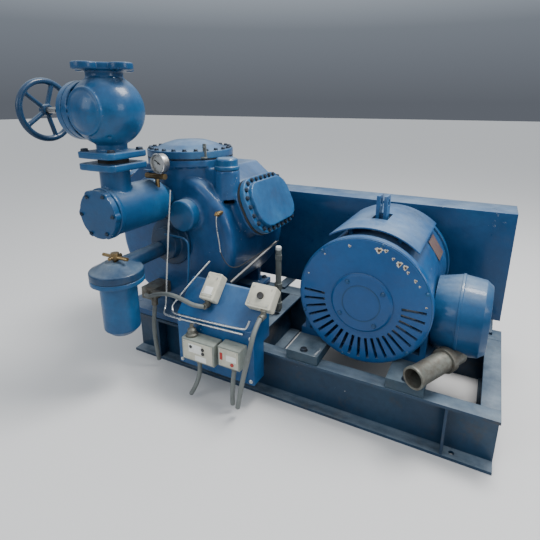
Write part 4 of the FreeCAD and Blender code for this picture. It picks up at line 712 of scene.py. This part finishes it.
smooth_line("sensing_tube_1", [(-479, -300, 806), (-500, -318, 560), (-508, -340, 330), (-506, -352, 306),
                               (-490, -378, 300), (-470, -388, 300), (-300, -390, 306), (-100, -390, 314)],
            0.004, TUBE, replaces=["pipework"])
smooth_line("sensing_tube_2", [(-330, -262, 520), (-398, -330, 420), (-440, -366, 355), (-448, -372, 340),
                               (-436, -386, 324), (-420, -394, 322), (-200, -394, 330), (-96, -394, 338),
                               (-82, -392, 344), (-76, -380, 372)], 0.004, TUBE)
smooth_line("painted_tube", [(-560, -262, 600), (-480, -262, 600), (-446, -262, 592), (-430, -264, 560),
                             (-430, -300, 330)], 0.0045, BLUE)
smooth_line("capillary_loop", [(-300, -228, 552), (-262, -236, 470), (-190, -150, 520), (-120, -60, 580)],
            0.002, RUBBER)
smooth_line("brace_rod", [(-130, -60, 574), (-240, -250, 440)], 0.0055, STEEL)

pipe = bmesh.new()
rod_mesh(pipe, point(-150, 0, 216), point(-150, 0, 516), 0.013, 32, 0.002)
rod_mesh(pipe, point(-210, 0, 247), point(-150, 0, 247), 0.011, 32, 0.002)
for low, high, radius in ((330, 356, 0.020), (232, 262, 0.019), (470, 492, 0.017)):
    lathe(pipe, [(0, 0), (radius, 0), (radius, (high - low) * MM), (0, (high - low) * MM)],
          point(-150, 0, low), (0, 0, 1), 6)
from_bmesh("relief_pipe", pipe, CONDUIT)
cap = bmesh.new()
lathe(cap, [(0, 0), (0.0125, 0), (0.0135, 0.003), (0.0125, 0.013), (0.009, 0.016), (0, 0.016)],
      point(-150, 0, 516), (0, 0, 1), 32)
from_bmesh("relief_pipe_cap", cap, LABEL)

# ---------------------------------------------------------------- flexible conduits

CONDUITS = {
    "conduit_a": [(-640, -322, 326), (-600, -350, 336), (-545, -366, 366), (-485, -376, 388),
                  (-425, -384, 397), (-365, -390, 390), (-320, -389, 378), (-287, -372, 374)],
    "conduit_b": [(-584, -330, 296), (-586, -342, 235), (-580, -352, 170), (-574, -352, 100),
                  (-572, -346, 34)],
    "conduit_c": [(-290, -412, 148), (-286, -418, 118), (-286, -432, 84), (-296, -444, 50),
                  (-312, -450, 20)],
    "conduit_d": [(-30, -384, 392), (-26, -428, 376), (-26, -456, 330), (-38, -464, 262),
                  (-56, -464, 190), (-72, -462, 118), (-88, -456, 44)],
    "conduit_e": [(-128, -410, 166), (-126, -424, 140), (-118, -440, 108), (-120, -442, 70),
                  (-122, -438, 34)],
}
for name, points in CONDUITS.items():
    line = smooth_line(name + "_hose", points, 0.009, CONDUIT, replaces=[name],
                       resolution=12)

# ---------------------------------------------------------------- floor, light and camera

floor_mesh = bpy.data.meshes.new("floor")
floor_mesh.from_pydata([(-30, -30, 0), (30, -30, 0), (30, 30, 0), (-30, 30, 0)], [], [(0, 1, 2, 3)])
floor_mat, _, floor_shader = new_material("floor")
floor_shader.inputs["Base Color"].default_value = (0.56, 0.56, 0.56, 1)
floor_shader.inputs["Roughness"].default_value = 0.8
floor_mesh.materials.append(floor_mat)
floor = bpy.data.objects.new("floor", floor_mesh)
bpy.context.scene.collection.objects.link(floor)

world = bpy.data.worlds.new("studio")
world.use_nodes = True
sky = world.node_tree
direction = node(sky, "ShaderNodeTexCoord")
height = node(sky, "ShaderNodeSeparateXYZ")
sky.links.new(direction.outputs["Generated"], height.inputs[0])
sky_colour = ramp(sky, height.outputs["Z"], [(0.0, (0.10, 0.11, 0.13)), (0.15, (0.16, 0.18, 0.21)),
                                             (0.5, (0.80, 0.90, 1.0)), (0.85, (1.0, 1.0, 1.0))])
sky.links.new(sky_colour, sky.nodes["Background"].inputs["Color"])
sky.nodes["Background"].inputs["Strength"].default_value = 1.15
bpy.context.scene.world = world


def area_light(name, place, target, size, power, colour=(1, 1, 1)):
    light = bpy.data.lights.new(name, "AREA")
    light.energy = power
    light.size = size
    light.color = colour
    item = bpy.data.objects.new(name, light)
    item.location = place
    item.rotation_euler = (Vector(target) - Vector(place)).to_track_quat("-Z", "Y").to_euler()
    bpy.context.scene.collection.objects.link(item)


area_light("key", (0.9, 0.7, 3.6), (-0.1, 0, 0.5), 1.3, 170, (1.0, 0.99, 0.97))
area_light("fill", (-1.6, -3.4, 2.2), (-0.2, 0, 0.6), 1.6, 34, (0.92, 0.96, 1.0))
area_light("side", (3.4, -0.6, 1.9), (0.3, 0, 0.5), 1.2, 30)

camera_data = bpy.data.cameras.new("camera")
camera_data.sensor_width = 36
camera_data.lens = 27.9
camera_data.shift_x = -0.0024
camera_data.shift_y = -0.0776
camera_data.clip_end = 100
camera = bpy.data.objects.new("camera", camera_data)
camera.location = point(631.3, -1553.8, 1135.8)
camera.rotation_euler = (math.radians(90 - 16.68), 0, math.radians(27.75))
bpy.context.scene.collection.objects.link(camera)
bpy.context.scene.camera = camera
